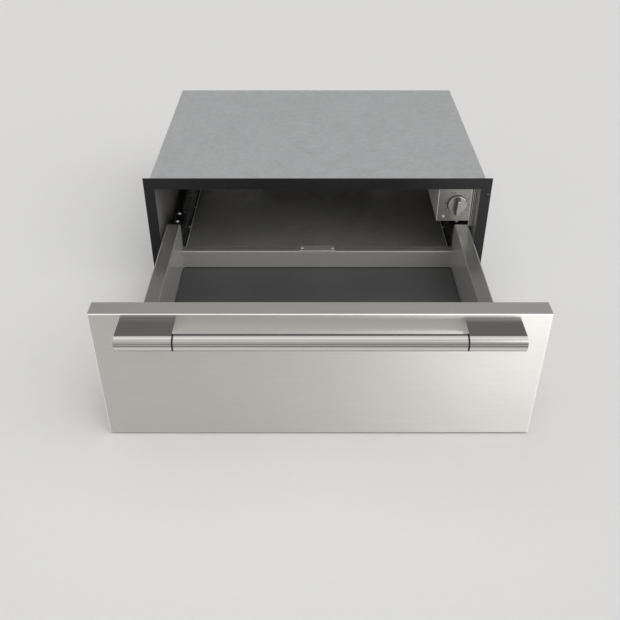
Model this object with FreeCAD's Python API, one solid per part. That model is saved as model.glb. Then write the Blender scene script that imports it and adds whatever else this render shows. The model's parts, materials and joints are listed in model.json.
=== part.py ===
"""Built-in warming drawer: an insulated case that fits flush in a cabinet, with a drawer on
full-extension slides, shown open.  Millimetres.  X runs to the right, +Y to the back, +Z up.
The origin is the centre of the case's underside, and the drawer front faces -Y."""
import FreeCAD, Part
import math
import os

V = FreeCAD.Vector

# ---- Overall: the front covers the flange, which covers the edge of the cut-out --------------
FRONT_WIDTH = 756.0
FRONT_HEIGHT = 264.0
CASE_DEPTH = 540.0
FRONT_RAISE = 3.0          # front's lower edge above the case's underside
FRONT_COVER_TOP = 5.0      # front's upper edge above the case's top
FRONT_COVER_SIDE = 1.0     # front past the flange at each side

# ---- Case: outer sheet-metal box -------------------------------------------------------------
CASE_SHEET = 1.0
CASE_LAP = 11.0            # turned edge of the base and top, lapping the sides and back
BEND_RADIUS = 0.6          # inside radius of folded sheet

# ---- Front flange ----------------------------------------------------------------------------
FLANGE_OVERHANG = 15.0     # flange past the case at each side
FLANGE_SHEET = 1.5
FLANGE_HOLE_RADIUS = 2.5
FLANGE_HOLE_SPACING = 182.0
FLANGE_HOLE_EDGE = 7.0     # hole centre in from the flange's outer edge
FLANGE_SINK_DEPTH = 1.2

# ---- Cavity: liner and insulation ------------------------------------------------------------
WALL_THICKNESS = 8.0       # case side to cavity
ROOF_THICKNESS = 25.4      # cavity ceiling to the case's top
BACK_THICKNESS = 20.0      # cavity back wall to the case's back
FLOOR_HEIGHT = 31.0        # cavity floor above the underside
LINER_SHEET = 1.0
BLANKET_GAP = 0.5          # blanket clear of the sheets around it

# ---- Drawer box ------------------------------------------------------------------------------
CLOSED_GAP = 2.6           # closed front to flange
DRAWER_SHEET = 1.0
SIDE_GAP = 13.5            # drawer side to liner
SIDE_THICKNESS = 31.0
SIDE_CLEARANCE = 6.0       # under the drawer, above the cavity floor
SIDE_RETURN = 6.0          # turned-in bottom edge of the side's outer wall
RIM_RADIUS = 2.0           # inside radius of the bends along the top of the sides and rail
REAR_GAP = 30.6            # closed drawer to the cavity's back wall
LEDGE = 10.0               # ledge that carries the tray
RAIL_HEIGHT = 44.6
RAIL_DEPTH = 25.0
TRAY_SHEET = 1.0
TRAY_LIP = 3.0
TRAY_CORNER = 6.0
TRAY_GAP = 0.7

# ---- Drawer front ----------------------------------------------------------------------------
FRONT_THICKNESS = 34.0
FRONT_SHEET = 1.2
FRONT_EDGE_RADIUS = 1.5
FRONT_LIP = 18.0           # folded edge behind the front
INNER_PANEL_SHEET = 1.0
INNER_PANEL_RIM = 14.0
INNER_PANEL_GAP = 0.2
GASKET_INSET = 3.0
GASKET_WIDTH = 5.0
GASKET_GAP = 0.3           # closed gasket to flange

# ---- Handle ----------------------------------------------------------------------------------
BAR_RADIUS = 14.0
BAR_WALL = 2.0
BAR_STANDOFF = 48.4        # bar axis in front of the drawer front
BAR_DROP = 20.4            # bar axis below the front's top edge
HANDLE_INSET = 52.5        # handle's end in from the front's edge
BRACKET_LENGTH = 91.2
BRACKET_WALL = 3.0
BRACKET_HOLE_INSET = 28.0  # screw in from either end of a bracket
BOSS_WIDTH = 12.0
BOSS_DEPTH = 18.0
BOSS_HOLE_DEPTH = 16.2
COLLAR_WIDTH = 2.6
COLLAR_STEP = 0.7          # collar below the bar's surface
PLUG_DEPTH = 20.0
SPIGOT_DEPTH = 24.0
SPIGOT_GAP = 0.2
BACKING_THICKNESS = 2.0
BACKING_MARGIN = 12.0

# ---- Slides ----------------------------------------------------------------------------------
SLIDE_SHEET = 1.5
SLIDE_WIDTH = 14.0
SLIDE_HEIGHT = 45.6
SLIDE_RISE = 0.443         # slide's axis, as a share of the drawer side's height
SLIDE_SETBACK = 8.0        # fixed member behind the flange's front face
SLIDE_REAR_GAP = 50.0      # slide's rear end to the cavity's back wall
OVER_TRAVEL = 7.0          # travel past the slide's own length
INNER_SLIDE_CUT = 14.0     # drawer member shorter than the others
INNER_SLIDE_SETBACK = 2.4  # in from the drawer's rear end
BALL_RADIUS = 1.6
BALL_CLEARANCE = 0.05
BALLS_PER_ROW = 3
RACE_GAP = 3.0             # between the flanges of neighbouring members
CAGE_THICKNESS = 0.8
CAGE_WIDTH = 4.6
CAGE_LENGTH = 190.0
CAGE_INSET = 20.0
MIDDLE_TIP = 2.1           # middle member's flange tips clear of the drawer side
FIXED_TIP = 2.7            # fixed member's flange tips clear of the drawer side
INNER_TIP = 1.5            # drawer member's flange tips clear of the middle member's web
RACE_INSET = 4.5           # ball centres from the hollow side's inner wall
BRACKET_SHEET = 2.0
FOOT_WIDTH = 10.0
FOOT_BOLT_PITCH = 105.0
FOOT_BOLT_START = 188.0    # first bolt behind the bracket's front end
FOOT_BOLTS = 3
STOP_LENGTH = 68.0
STOP_SETBACK = 27.0
STOP_BOLT_INSET = 8.0      # stop's front bolt from its front
STOP_BOLT_PITCH = 37.0
STOP_RADIUS = 3.0
STOP_GAP = 4.0             # stop clear of the drawer side's inner wall
STOP_HEADROOM = 1.5        # stop's bolts clear of the drawer side's top
ANGLE_SHEET = 1.5
BUFFER_GAP = 0.4           # closed corner angle to the stop block
BUFFER_TAB = 12.0          # tab of the corner angle that meets the stop block
ANGLE_FOOT = 24.0
ANGLE_HEIGHT = 78.0

# ---- Fasteners -------------------------------------------------------------------------------
BOLT_RADIUS = 2.4
BOLT_HEAD_RADIUS = 3.6
BOLT_HEAD_HEIGHT = 2.6
BOLT_LENGTH = 6.0
SCREW_RADIUS = 1.9
SCREW_HEAD_RADIUS = 3.3
SCREW_HEAD_HEIGHT = 1.6
SCREW_LENGTH = 6.0
SCREW_MARGIN = 0.5         # panel screw's head in from the lip's edge
PANEL_SCREW_SHARES = (0.35, 0.88)  # panel screws along the front's half width
HANDLE_SCREW_RADIUS = 2.9
HANDLE_SCREW_HEAD_RADIUS = 5.0
HANDLE_SCREW_HEAD_HEIGHT = 4.0
HANDLE_SCREW_REACH = 13.5  # into the bracket's boss
THREAD_GAP = 0.05
HOLE_GAP = 0.3
DOME_RIM = 0.25            # share of a head's height that is its straight rim

# ---- Name plate ------------------------------------------------------------------------------
PLATE_WIDTH = 81.0
PLATE_THICKNESS = 1.0
PLATE_ROLL = 1.6           # thicker front edge of the plate
RIVET_RADIUS = 1.6
RIVET_HEAD_RADIUS = 2.9
RIVET_HEIGHT = 0.9
RIVET_INSET = 6.0

# ---- Control box -----------------------------------------------------------------------------
CONTROL_WIDTH = 73.0
CONTROL_SHARE = 0.45       # box's height, as a share of the cavity's
CONTROL_DEPTH = 150.0
CONTROL_RECESS = 28.0
CONTROL_SHEET = 1.0
CONTROL_CLEARANCE = 5.6    # above the drawer side
CONTROL_WALL_GAP = 12.0    # box to the cavity's right wall
WING_STEP = 6.0            # wing behind the box's face
WING_DEPTH = 30.0
FASCIA_THICKNESS = 1.6
FASCIA_EDGE = 1.4          # rounding of the fascia's front edges
THERMOSTAT_WIDTH = 44.0
THERMOSTAT_HEIGHT = 40.0
THERMOSTAT_DEPTH = 34.0
THERMOSTAT_CORNER = 2.4
THERMOSTAT_BUSH_RADIUS = 4.6
THERMOSTAT_BUSH_LENGTH = 2.0
SHAFT_RADIUS = 3.0
SHAFT_FIT = 0.05
SHAFT_SEAT = 22.0
KNOB_RADIUS = 21.5
KNOB_HEIGHT = 23.0
KNOB_SKIRT = 6.0
KNOB_GAP = 1.0
KNOB_GRIP = 11.0
KNOB_TIP_RADIUS = 17.2     # grip's reach at its front
KNOB_SHAFT_DEPTH = 14.0
KNOB_OFFSET = 6.5          # knob axis right of the box's centre line
KNOB_DROP = 50.5           # knob axis below the cavity ceiling
LAMP_RADIUS = 4.5
LAMP_HEIGHT = 3.5
LAMP_BODY_RADIUS = 3.4
LAMP_BODY_LENGTH = 22.0
LAMP_INSET = 14.0          # from the box's left edge
LAMP_RAISE = 11.0          # from the box's lower edge

# ---- Heater and temperature sensor -----------------------------------------------------------
HEATER_COVER_WIDTH = 312.0
HEATER_COVER_TOP = 91.0    # above the cavity floor
HEATER_COVER_HEIGHT = 72.0
HEATER_COVER_DEPTH = 24.0
HEATER_COVER_SHEET = 1.0
VENT_COUNT = 14
VENT_WIDTH = 6.0
VENT_CORNER = 2.9
VENT_MARGIN = 14.0
HEATER_COVER_CORNER = 8.0
ELEMENT_RADIUS = 3.2
ELEMENT_BEND = 7.2
ELEMENT_INSET = 26.0
ELEMENT_STANDOFF = 12.0
ELEMENT_TAIL = 8.0
CLIP_SHEET = 1.0
CLIP_WIDTH = 8.0
BULB_RADIUS = 3.2
BULB_LENGTH = 80.0
BULB_SETBACK = 50.0        # behind the control box
BULB_DROP = 8.0            # axis below the ceiling
CAPILLARY_RADIUS = 1.0
CAPILLARY_REACH = 18.0     # into the control box

# ---- Supply ----------------------------------------------------------------------------------
JUNCTION_WIDTH = 90.0
JUNCTION_HEIGHT = 80.0
JUNCTION_DEPTH = 30.0
JUNCTION_SHEET = 1.2
JUNCTION_RAISE = 24.0
ENTRY_RADIUS = 11.1
TERMINAL_WIDTH = 48.0
TERMINAL_HEIGHT = 20.0
TERMINAL_DEPTH = 14.0
HARNESS_RADIUS = 3.0
HARNESS_BEND = 8.0
HARNESS_GAP = 0.4
HARNESS_SETBACK = 37.0     # its drop into the control box, in from the box's rear

# ---- Places worked out from the sizes --------------------------------------------------------
FLANGE_SIDE = FRONT_WIDTH / 2 - FRONT_COVER_SIDE
CASE_SIDE = FLANGE_SIDE - FLANGE_OVERHANG
CASE_HEIGHT = FRONT_RAISE + FRONT_HEIGHT - FRONT_COVER_TOP
CASE_FRONT = -CASE_DEPTH / 2
CASE_BACK = CASE_DEPTH / 2
BODY_FRONT = CASE_FRONT + FLANGE_SHEET
CAVITY_SIDE = CASE_SIDE - WALL_THICKNESS
CAVITY_BACK = CASE_BACK - BACK_THICKNESS
SLIDE_FRONT = CASE_FRONT + SLIDE_SETBACK
SLIDE_LENGTH = CAVITY_BACK - SLIDE_REAR_GAP - SLIDE_FRONT
TRAVEL = SLIDE_LENGTH + OVER_TRAVEL
CEILING = CASE_HEIGHT - ROOF_THICKNESS

FRONT_BACK = CASE_FRONT - CLOSED_GAP - TRAVEL
FRONT_FACE = FRONT_BACK - FRONT_THICKNESS
FRONT_TOP = FRONT_RAISE + FRONT_HEIGHT
PANEL_BACK = FRONT_BACK - FRONT_SHEET
SIDE_OUTER = CAVITY_SIDE - SIDE_GAP
SIDE_INNER = SIDE_OUTER - SIDE_THICKNESS
LEDGE_TOP = FLOOR_HEIGHT + SIDE_CLEARANCE + DRAWER_SHEET
CONTROL_BOTTOM = CEILING - CONTROL_SHARE * (CEILING - FLOOR_HEIGHT)
SIDE_TOP = CONTROL_BOTTOM - CONTROL_CLEARANCE
DRAWER_REAR = CAVITY_BACK - REAR_GAP - TRAVEL
RAIL_FRONT = DRAWER_REAR - RAIL_DEPTH
RAIL_TOP = LEDGE_TOP + RAIL_HEIGHT

BAR_Y = FRONT_FACE - BAR_STANDOFF
BAR_Z = FRONT_TOP - BAR_DROP
BRACKET_OUT = FRONT_WIDTH / 2 - HANDLE_INSET
BRACKET_IN = BRACKET_OUT - BRACKET_LENGTH
BAR_END = BRACKET_IN - COLLAR_WIDTH
BRACKET_HOLES = (BRACKET_IN + BRACKET_HOLE_INSET, BRACKET_OUT - BRACKET_HOLE_INSET)

HOLLOW_FACE = SIDE_INNER + DRAWER_SHEET
SLIDE_BACK_FACE = HOLLOW_FACE + SLIDE_WIDTH
SLIDE_Z = LEDGE_TOP + SLIDE_RISE * (SIDE_TOP - LEDGE_TOP)
MIDDLE_FRONT = SLIDE_FRONT - TRAVEL / 2
INNER_SLIDE_LENGTH = SLIDE_LENGTH - INNER_SLIDE_CUT
INNER_SLIDE_REAR = DRAWER_REAR - INNER_SLIDE_SETBACK
FIXED_HALF = SLIDE_HEIGHT / 2
MIDDLE_HALF = FIXED_HALF - SLIDE_SHEET - RACE_GAP
INNER_HALF = MIDDLE_HALF - SLIDE_SHEET - RACE_GAP
OUTER_RACE = MIDDLE_HALF + RACE_GAP / 2
INNER_RACE = INNER_HALF + RACE_GAP / 2
RACE_X = HOLLOW_FACE + RACE_INSET
SUPPORT_FACE = SLIDE_BACK_FACE + BRACKET_SHEET
STOP_FRONT = SLIDE_FRONT + STOP_SETBACK
STOP_BASE = SLIDE_Z + FIXED_HALF
STOP_TOP = SIDE_TOP - DRAWER_SHEET - STOP_HEADROOM - BOLT_HEAD_HEIGHT
ANGLE_REAR = STOP_FRONT - BUFFER_GAP - TRAVEL
FOOT_X = (SUPPORT_FACE - FOOT_WIDTH + SLIDE_BACK_FACE) / 2

CONTROL_FACE = CASE_FRONT + CONTROL_RECESS
CONTROL_RIGHT = CAVITY_SIDE - CONTROL_WALL_GAP
CONTROL_LEFT = CONTROL_RIGHT - CONTROL_WIDTH
CONTROL_BACK = CONTROL_FACE + CONTROL_DEPTH
FASCIA_BACK = CONTROL_FACE + FASCIA_THICKNESS
KNOB_X = (CONTROL_LEFT + CONTROL_RIGHT) / 2 + KNOB_OFFSET
KNOB_Z = CEILING - KNOB_DROP
LAMP_X = CONTROL_LEFT + LAMP_INSET
LAMP_Z = CONTROL_BOTTOM + LAMP_RAISE
COVER_TOP = FLOOR_HEIGHT + HEATER_COVER_TOP
COVER_BOTTOM = COVER_TOP - HEATER_COVER_HEIGHT
HARNESS_Y = (CAVITY_BACK + LINER_SHEET + CASE_BACK - 2 * CASE_SHEET) / 2
HARNESS_Z = (CEILING + LINER_SHEET + CASE_HEIGHT - CASE_SHEET) / 2


# ---- Helpers ---------------------------------------------------------------------------------
def box(x_range, y_range, z_range):
    """Block between two values on each axis."""
    low = V(x_range[0], y_range[0], z_range[0])
    return Part.makeBox(x_range[1] - low.x, y_range[1] - low.y, z_range[1] - low.z, low)


def rod(radius, start, end):
    """Round bar from one point to another."""
    return Part.makeCylinder(radius, (end - start).Length, start, end - start)


def mirrored(shape):
    """The same piece on the other side of the centre plane."""
    return shape.mirror(V(0, 0, 0), V(1, 0, 0))


def joined(shapes):
    """Several shapes fused to one solid with its flat faces cleaned."""
    return shapes[0].fuse(shapes[1:]).removeSplitter()


def in_plane(axis, station):
    """Function that puts a pair of coordinates on the plane square to an axis."""
    if axis == "x":
        return lambda p: V(station, p[0], p[1])
    if axis == "y":
        return lambda p: V(p[0], station, p[1])
    return lambda p: V(p[0], p[1], station)


def unit(axis):
    """Direction of an axis named by its letter."""
    return {"x": V(1, 0, 0), "y": V(0, 1, 0), "z": V(0, 0, 1)}[axis]


def rounded_wire(points, radii, place, closed):
    """Line through points with an arc of the given radius at each corner."""
    count = len(points)
    edges = []
    flat = [V(p[0], p[1], 0) for p in points]
    last = flat[0]
    corners = range(count) if closed else range(1, count - 1)
    first_out = None
    for i in corners:
        here = flat[i]
        back = (flat[i - 1] - here).normalize()
        ahead = (flat[(i + 1) % count] - here).normalize()
        if radii[i] > 0:
            half = back.getAngle(ahead) / 2
            reach = radii[i] / math.tan(half)
            centre = here + (back + ahead).normalize() * (radii[i] / math.sin(half))
            enter = here + back * reach
            leave = here + ahead * reach
            middle = centre + (here - centre).normalize() * radii[i]
        else:
            enter = leave = here
        if not (closed and first_out is None):
            edges.append(Part.makeLine(place(last), place(enter)))
        else:
            first_out = enter
        if radii[i] > 0:
            edges.append(Part.Arc(place(enter), place(middle), place(leave)).toShape())
        last = leave
    end = first_out if closed else flat[-1]
    edges.append(Part.makeLine(place(last), place(end)))
    return Part.Wire(edges)


def prism(points, radii, axis, start, end):
    """Block with a rounded outline, run along an axis from one station to another."""
    wire = rounded_wire(points, radii, in_plane(axis, start), True)
    return Part.Face(wire).extrude(unit(axis) * (end - start))


def folded(points, gauge, axis, start, end, wide_bends=()):
    """Sheet bent along a line of points, with its metal on the line's right-hand side.
    The bends whose numbers are given have the wider radius."""
    flat = [V(p[0], p[1], 0) for p in points]
    steps = [(b - a).normalize() for a, b in zip(flat, flat[1:])]
    rights = [V(s.y, -s.x, 0) for s in steps]
    near = [0.0]
    far = [0.0]
    inside = [flat[0] + rights[0] * gauge]
    for i in range(1, len(flat) - 1):
        turn = steps[i - 1].cross(steps[i]).z
        mitre = rights[i - 1] + rights[i]
        inside.append(flat[i] + mitre * (2 * gauge / mitre.dot(mitre)))
        radius = RIM_RADIUS if i in wide_bends else BEND_RADIUS
        near.append(radius if turn > 0 else radius + gauge)
        far.append(radius + gauge if turn > 0 else radius)
    inside.append(flat[-1] + rights[-1] * gauge)
    near.append(0.0)
    far.append(0.0)
    outline = list(points) + [(p.x, p.y) for p in reversed(inside)]
    return prism(outline, near + far[::-1], axis, start, end)


def dome(radius, height, seat, direction):
    """Domed button with a low rim: flat on the seat, its crown along the direction."""
    rim = height * DOME_RIM
    rise = height - rim
    crown = (radius ** 2 + rise ** 2) / (2 * rise)
    lean = math.asin(radius / crown) / 2
    half_way = V(crown * math.sin(lean), 0, height - crown + crown * math.cos(lean))
    corners = [V(0, 0, 0), V(radius, 0, 0), V(radius, 0, rim), V(0, 0, height)]
    edges = [Part.makeLine(corners[0], corners[1]), Part.makeLine(corners[1], corners[2]),
             Part.Arc(corners[2], half_way, corners[3]).toShape(), Part.makeLine(corners[3], corners[0])]
    button = Part.Face(Part.Wire(edges)).revolve(V(0, 0, 0), V(0, 0, 1), 360)
    button.Placement = FreeCAD.Placement(seat, FreeCAD.Rotation(V(0, 0, 1), direction))
    return button


def fastener(radius, length, head_radius, head_height, seat, direction):
    """Screw or rivet with a domed head: the head stands on the seat, the shank runs the other way."""
    shank = rod(radius, seat, seat - direction * length)
    return joined([dome(head_radius, head_height, seat, direction), shank])


def bolt(seat, direction, length):
    """Bolt of the slide brackets."""
    return fastener(BOLT_RADIUS, length, BOLT_HEAD_RADIUS, BOLT_HEAD_HEIGHT, seat, direction)


def screw(seat, direction):
    """Sheet-metal screw."""
    return fastener(SCREW_RADIUS, SCREW_LENGTH, SCREW_HEAD_RADIUS, SCREW_HEAD_HEIGHT, seat, direction)


def both_sides(points):
    """Points and their mirror images in the centre plane."""
    return points + [V(-p.x, p.y, p.z) for p in points]


def drilled(shape, seats, radius, direction, reach):
    """Shape with a round hole along a direction at each seat, reaching both ways from it."""
    for seat in seats:
        shape = shape.cut(rod(radius, seat - direction * reach, seat + direction * reach))
    return shape


# ---- Case ------------------------------------------------------------------------------------
def case_screw_seats():
    """Screws that hold the turned edges of the base and top to the right-hand side."""
    heights = (CASE_LAP / 2 + CASE_SHEET / 2, CASE_HEIGHT - CASE_LAP / 2 - CASE_SHEET / 2)
    stations = (CASE_FRONT + CASE_DEPTH / 5, CASE_BACK - CASE_DEPTH / 5)
    return [V(CASE_SIDE, y, z) for z in heights for y in stations]


def case_base():
    """Pan with turned-up sides and back."""
    profile = [(-CASE_SIDE, CASE_LAP), (-CASE_SIDE, 0), (CASE_SIDE, 0), (CASE_SIDE, CASE_LAP)]
    pan = folded(profile[::-1], CASE_SHEET, "y", BODY_FRONT, CASE_BACK)
    back = box((-CASE_SIDE + CASE_SHEET, CASE_SIDE - CASE_SHEET), (CASE_BACK - CASE_SHEET, CASE_BACK),
               (CASE_SHEET / 2, CASE_LAP))
    return drilled(joined([pan, back]), both_sides(case_screw_seats()), SCREW_RADIUS, V(1, 0, 0), CASE_LAP)


def case_top():
    """Cover like the base, turned over."""
    return case_base().mirror(V(0, 0, CASE_HEIGHT / 2), V(0, 0, 1))


def case_side():
    """Right-hand side with folded front and rear edges, standing inside the base and top."""
    outer = CASE_SIDE - CASE_SHEET
    inner = CAVITY_SIDE + LINER_SHEET + BLANKET_GAP
    profile = [(inner, BODY_FRONT), (outer, BODY_FRONT), (outer, CASE_BACK - CASE_SHEET)]
    end = CASE_SHEET + BEND_RADIUS
    plate = folded(profile[::-1], CASE_SHEET, "z", end, CASE_HEIGHT - end)
    return drilled(plate, case_screw_seats(), SCREW_RADIUS, V(1, 0, 0), CASE_LAP)


def case_back():
    """Back panel with the hole that leads the harness into the junction box."""
    edge = CASE_SIDE - 2 * CASE_SHEET
    plate = box((-edge, edge), (CASE_BACK - 2 * CASE_SHEET, CASE_BACK - CASE_SHEET),
                (CASE_SHEET, CASE_HEIGHT - CASE_SHEET))
    middle = V(KNOB_X, CASE_BACK, junction_middle())
    return drilled(plate, [middle], HARNESS_RADIUS + HARNESS_GAP, V(0, 1, 0), CASE_LAP)


def case_screws():
    """Screws along both sides of the case and those of the control box's wing."""
    right = [screw(seat, V(1, 0, 0)) for seat in case_screw_seats()]
    wing = [screw(seat, V(-1, 0, 0)) for seat in wing_screw_seats()]
    return right + [mirrored(s) for s in right] + wing


def flange_hole_seats():
    """Four holes that fix the flange to the cabinet."""
    x = FLANGE_SIDE - FLANGE_HOLE_EDGE
    middle = CASE_HEIGHT / 2
    heights = (middle - FLANGE_HOLE_SPACING / 2, middle + FLANGE_HOLE_SPACING / 2)
    return [V(side * x, CASE_FRONT, z) for side in (-1, 1) for z in heights]


def front_flange():
    """Flat frame around the cavity's mouth."""
    plate = box((-FLANGE_SIDE, FLANGE_SIDE), (CASE_FRONT, BODY_FRONT), (0, CASE_HEIGHT))
    mouth = box((-CAVITY_SIDE, CAVITY_SIDE), (CASE_FRONT, BODY_FRONT), (FLOOR_HEIGHT, CEILING))
    plate = plate.cut(mouth)
    for seat in flange_hole_seats():
        sink = Part.makeCone(FLANGE_HOLE_RADIUS + FLANGE_SINK_DEPTH, FLANGE_HOLE_RADIUS,
                             FLANGE_SINK_DEPTH, seat, V(0, 1, 0))
        plate = plate.cut(sink)
    return drilled(plate, flange_hole_seats(), FLANGE_HOLE_RADIUS, V(0, 1, 0), CASE_LAP)


# ---- Liner and insulation --------------------------------------------------------------------
def liner_floor():
    """Cavity floor."""
    edge = CAVITY_SIDE + LINER_SHEET
    plate = box((-edge, edge), (BODY_FRONT, CAVITY_BACK + LINER_SHEET),
                (FLOOR_HEIGHT - LINER_SHEET, FLOOR_HEIGHT))
    return drilled(plate, both_sides(foot_bolt_seats()), BOLT_RADIUS, V(0, 0, 1), BOLT_LENGTH)


def liner_top():
    """Cavity ceiling with the hole of the harness."""
    edge = CAVITY_SIDE + LINER_SHEET
    plate = box((-edge, edge), (BODY_FRONT, CAVITY_BACK + LINER_SHEET), (CEILING, CEILING + LINER_SHEET))
    return drilled(plate, [harness_points()[0]], HARNESS_RADIUS + HARNESS_GAP, V(0, 0, 1), CASE_LAP)


def liner_left():
    """Left-hand wall of the cavity."""
    return box((-CAVITY_SIDE - LINER_SHEET, -CAVITY_SIDE), (BODY_FRONT, CAVITY_BACK),
               (FLOOR_HEIGHT, CEILING))


def liner_right():
    """Right-hand wall of the cavity, with the holes of the control box's screws."""
    return drilled(mirrored(liner_left()), wing_screw_seats(), SCREW_RADIUS, V(1, 0, 0), SCREW_LENGTH)


def liner_back():
    """Back wall of the cavity with the holes of the heating element."""
    edge = CAVITY_SIDE + LINER_SHEET
    plate = box((-edge, edge), (CAVITY_BACK, CAVITY_BACK + LINER_SHEET), (FLOOR_HEIGHT, CEILING))
    ends = [element_points()[0], element_points()[-1]]
    return drilled(plate, ends, ELEMENT_RADIUS, V(0, 1, 0), CASE_LAP)


def insulation_blanket():
    """Mineral wool around the cavity, open at the front."""
    side = CASE_SIDE - 2 * CASE_SHEET - BLANKET_GAP
    start = BODY_FRONT + CASE_SHEET + BLANKET_GAP
    outer = box((-side, side), (start, CASE_BACK - 2 * CASE_SHEET - BLANKET_GAP),
                (CASE_SHEET + BLANKET_GAP, CASE_HEIGHT - CASE_SHEET - BLANKET_GAP))
    grow = LINER_SHEET + BLANKET_GAP
    inner = box((-CAVITY_SIDE - grow, CAVITY_SIDE + grow), (start, CAVITY_BACK + grow),
                (FLOOR_HEIGHT - grow, CEILING + grow))
    blanket = outer.cut(inner)
    blanket = blanket.cut(tube_along(harness_points(), HARNESS_RADIUS + HARNESS_GAP, HARNESS_BEND))
    ends = [element_points()[0], element_points()[-1]]
    blanket = drilled(blanket, ends, ELEMENT_RADIUS + HARNESS_GAP, V(0, 1, 0), ELEMENT_STANDOFF)
    blanket = drilled(blanket, both_sides(case_screw_seats()) + wing_screw_seats(), SCREW_RADIUS + HOLE_GAP,
                      V(1, 0, 0), SCREW_LENGTH + HOLE_GAP)
    return drilled(blanket, both_sides(foot_bolt_seats()), BOLT_RADIUS + HOLE_GAP, V(0, 0, 1),
                   BOLT_LENGTH + HOLE_GAP)


# ---- Heater, sensor and supply ---------------------------------------------------------------
def tube_along(points, radius, bend):
    """Round bar along a line with rounded corners."""
    edges = []
    last = points[0]
    for before, here, after in zip(points, points[1:], points[2:]):
        back = (before - here).normalize()
        ahead = (after - here).normalize()
        enter = here + back * bend
        leave = here + ahead * bend
        middle = here + (back + ahead) * (bend * (1 - math.sqrt(0.5)))
        edges.append(Part.makeLine(last, enter))
        edges.append(Part.Arc(enter, middle, leave).toShape())
        last = leave
    edges.append(Part.makeLine(last, points[-1]))
    section = Part.Wire(Part.makeCircle(radius, points[0], points[1] - points[0]))
    return Part.Wire(edges).makePipeShell([section], True, False)


def element_points():
    """Centre line of the heating element: in through the back wall, across and back."""
    far = HEATER_COVER_WIDTH / 2 - ELEMENT_INSET
    front = CAVITY_BACK - ELEMENT_STANDOFF
    rear = CAVITY_BACK + LINER_SHEET + ELEMENT_TAIL
    high = COVER_TOP - HEATER_COVER_HEIGHT / 4
    low = COVER_BOTTOM + HEATER_COVER_HEIGHT / 4
    return [V(far, rear, high), V(far, front, high), V(-far, front, high), V(-far, front, low),
            V(far, front, low), V(far, rear, low)]


def heating_element():
    """Bent tubular element."""
    return tube_along(element_points(), ELEMENT_RADIUS, ELEMENT_BEND)


def element_support():
    """Strap that holds the element's far end to the back wall."""
    x = -HEATER_COVER_WIDTH / 4
    reach = ELEMENT_RADIUS + THREAD_GAP
    low = element_points()[-1].z - reach
    high = element_points()[0].z + reach
    front = CAVITY_BACK - ELEMENT_STANDOFF - reach
    profile = [(CAVITY_BACK, high + CLIP_WIDTH), (CAVITY_BACK, high), (front, high), (front, low),
               (CAVITY_BACK, low), (CAVITY_BACK, low - CLIP_WIDTH)]
    return folded(profile, CLIP_SHEET, "x", x - CLIP_WIDTH / 2, x + CLIP_WIDTH / 2)


def heater_cover():
    """Pressed cover over the element with a row of upright vents."""
    half = HEATER_COVER_WIDTH / 2
    front = CAVITY_BACK - HEATER_COVER_DEPTH
    outline = [(-half, COVER_BOTTOM), (half, COVER_BOTTOM), (half, COVER_TOP), (-half, COVER_TOP)]
    shell = prism(outline, [HEATER_COVER_CORNER] * 4, "y", front, CAVITY_BACK)
    rim = [e for e in shell.Edges if e.BoundBox.YMax < front + HEATER_COVER_SHEET / 2]
    shell = shell.makeFillet(2 * HEATER_COVER_SHEET, rim)
    gauge = HEATER_COVER_SHEET
    hollow = box((-half + gauge, half - gauge), (front + gauge, CAVITY_BACK),
                 (COVER_BOTTOM + gauge, COVER_TOP - gauge))
    shell = shell.cut(hollow)
    pitch = (HEATER_COVER_WIDTH - 2 * VENT_MARGIN) / VENT_COUNT
    for i in range(VENT_COUNT):
        x = -half + VENT_MARGIN + pitch * (i + 0.5)
        low = COVER_BOTTOM + VENT_MARGIN
        high = COVER_TOP - VENT_MARGIN
        slot = [(x - VENT_WIDTH / 2, low), (x + VENT_WIDTH / 2, low), (x + VENT_WIDTH / 2, high),
                (x - VENT_WIDTH / 2, high)]
        shell = shell.cut(prism(slot, [VENT_CORNER] * 4, "y", front - gauge, front + 2 * gauge))
    return shell


def bulb_axis():
    """Front and rear ends of the sensing bulb."""
    front = CONTROL_BACK + BULB_SETBACK
    z = CEILING - BULB_DROP
    return V(KNOB_X, front, z), V(KNOB_X, front + BULB_LENGTH, z)


def sensing_bulb():
    """Thermostat's bulb with the capillary that leads to the control box."""
    front, rear = bulb_axis()
    capillary = rod(CAPILLARY_RADIUS, V(front.x, CONTROL_BACK - CAPILLARY_REACH, front.z), front)
    return joined([rod(BULB_RADIUS, front, rear), capillary])


def bulb_clips():
    """Two bent straps that hang the bulb from the ceiling."""
    front, rear = bulb_axis()
    reach = BULB_RADIUS + THREAD_GAP
    low = front.z - reach
    left = front.x - reach
    right = front.x + reach
    profile = [(left - CLIP_WIDTH, CEILING), (left, CEILING), (left, low), (right, low), (right, CEILING),
               (right + CLIP_WIDTH, CEILING)]
    clips = []
    for y in (front.y + CLIP_WIDTH, rear.y - 2 * CLIP_WIDTH):
        clips.append(folded(profile, CLIP_SHEET, "y", y, y + CLIP_WIDTH))
    return clips


def junction_middle():
    """Height of the junction box's centre."""
    return JUNCTION_RAISE + JUNCTION_HEIGHT / 2


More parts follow.
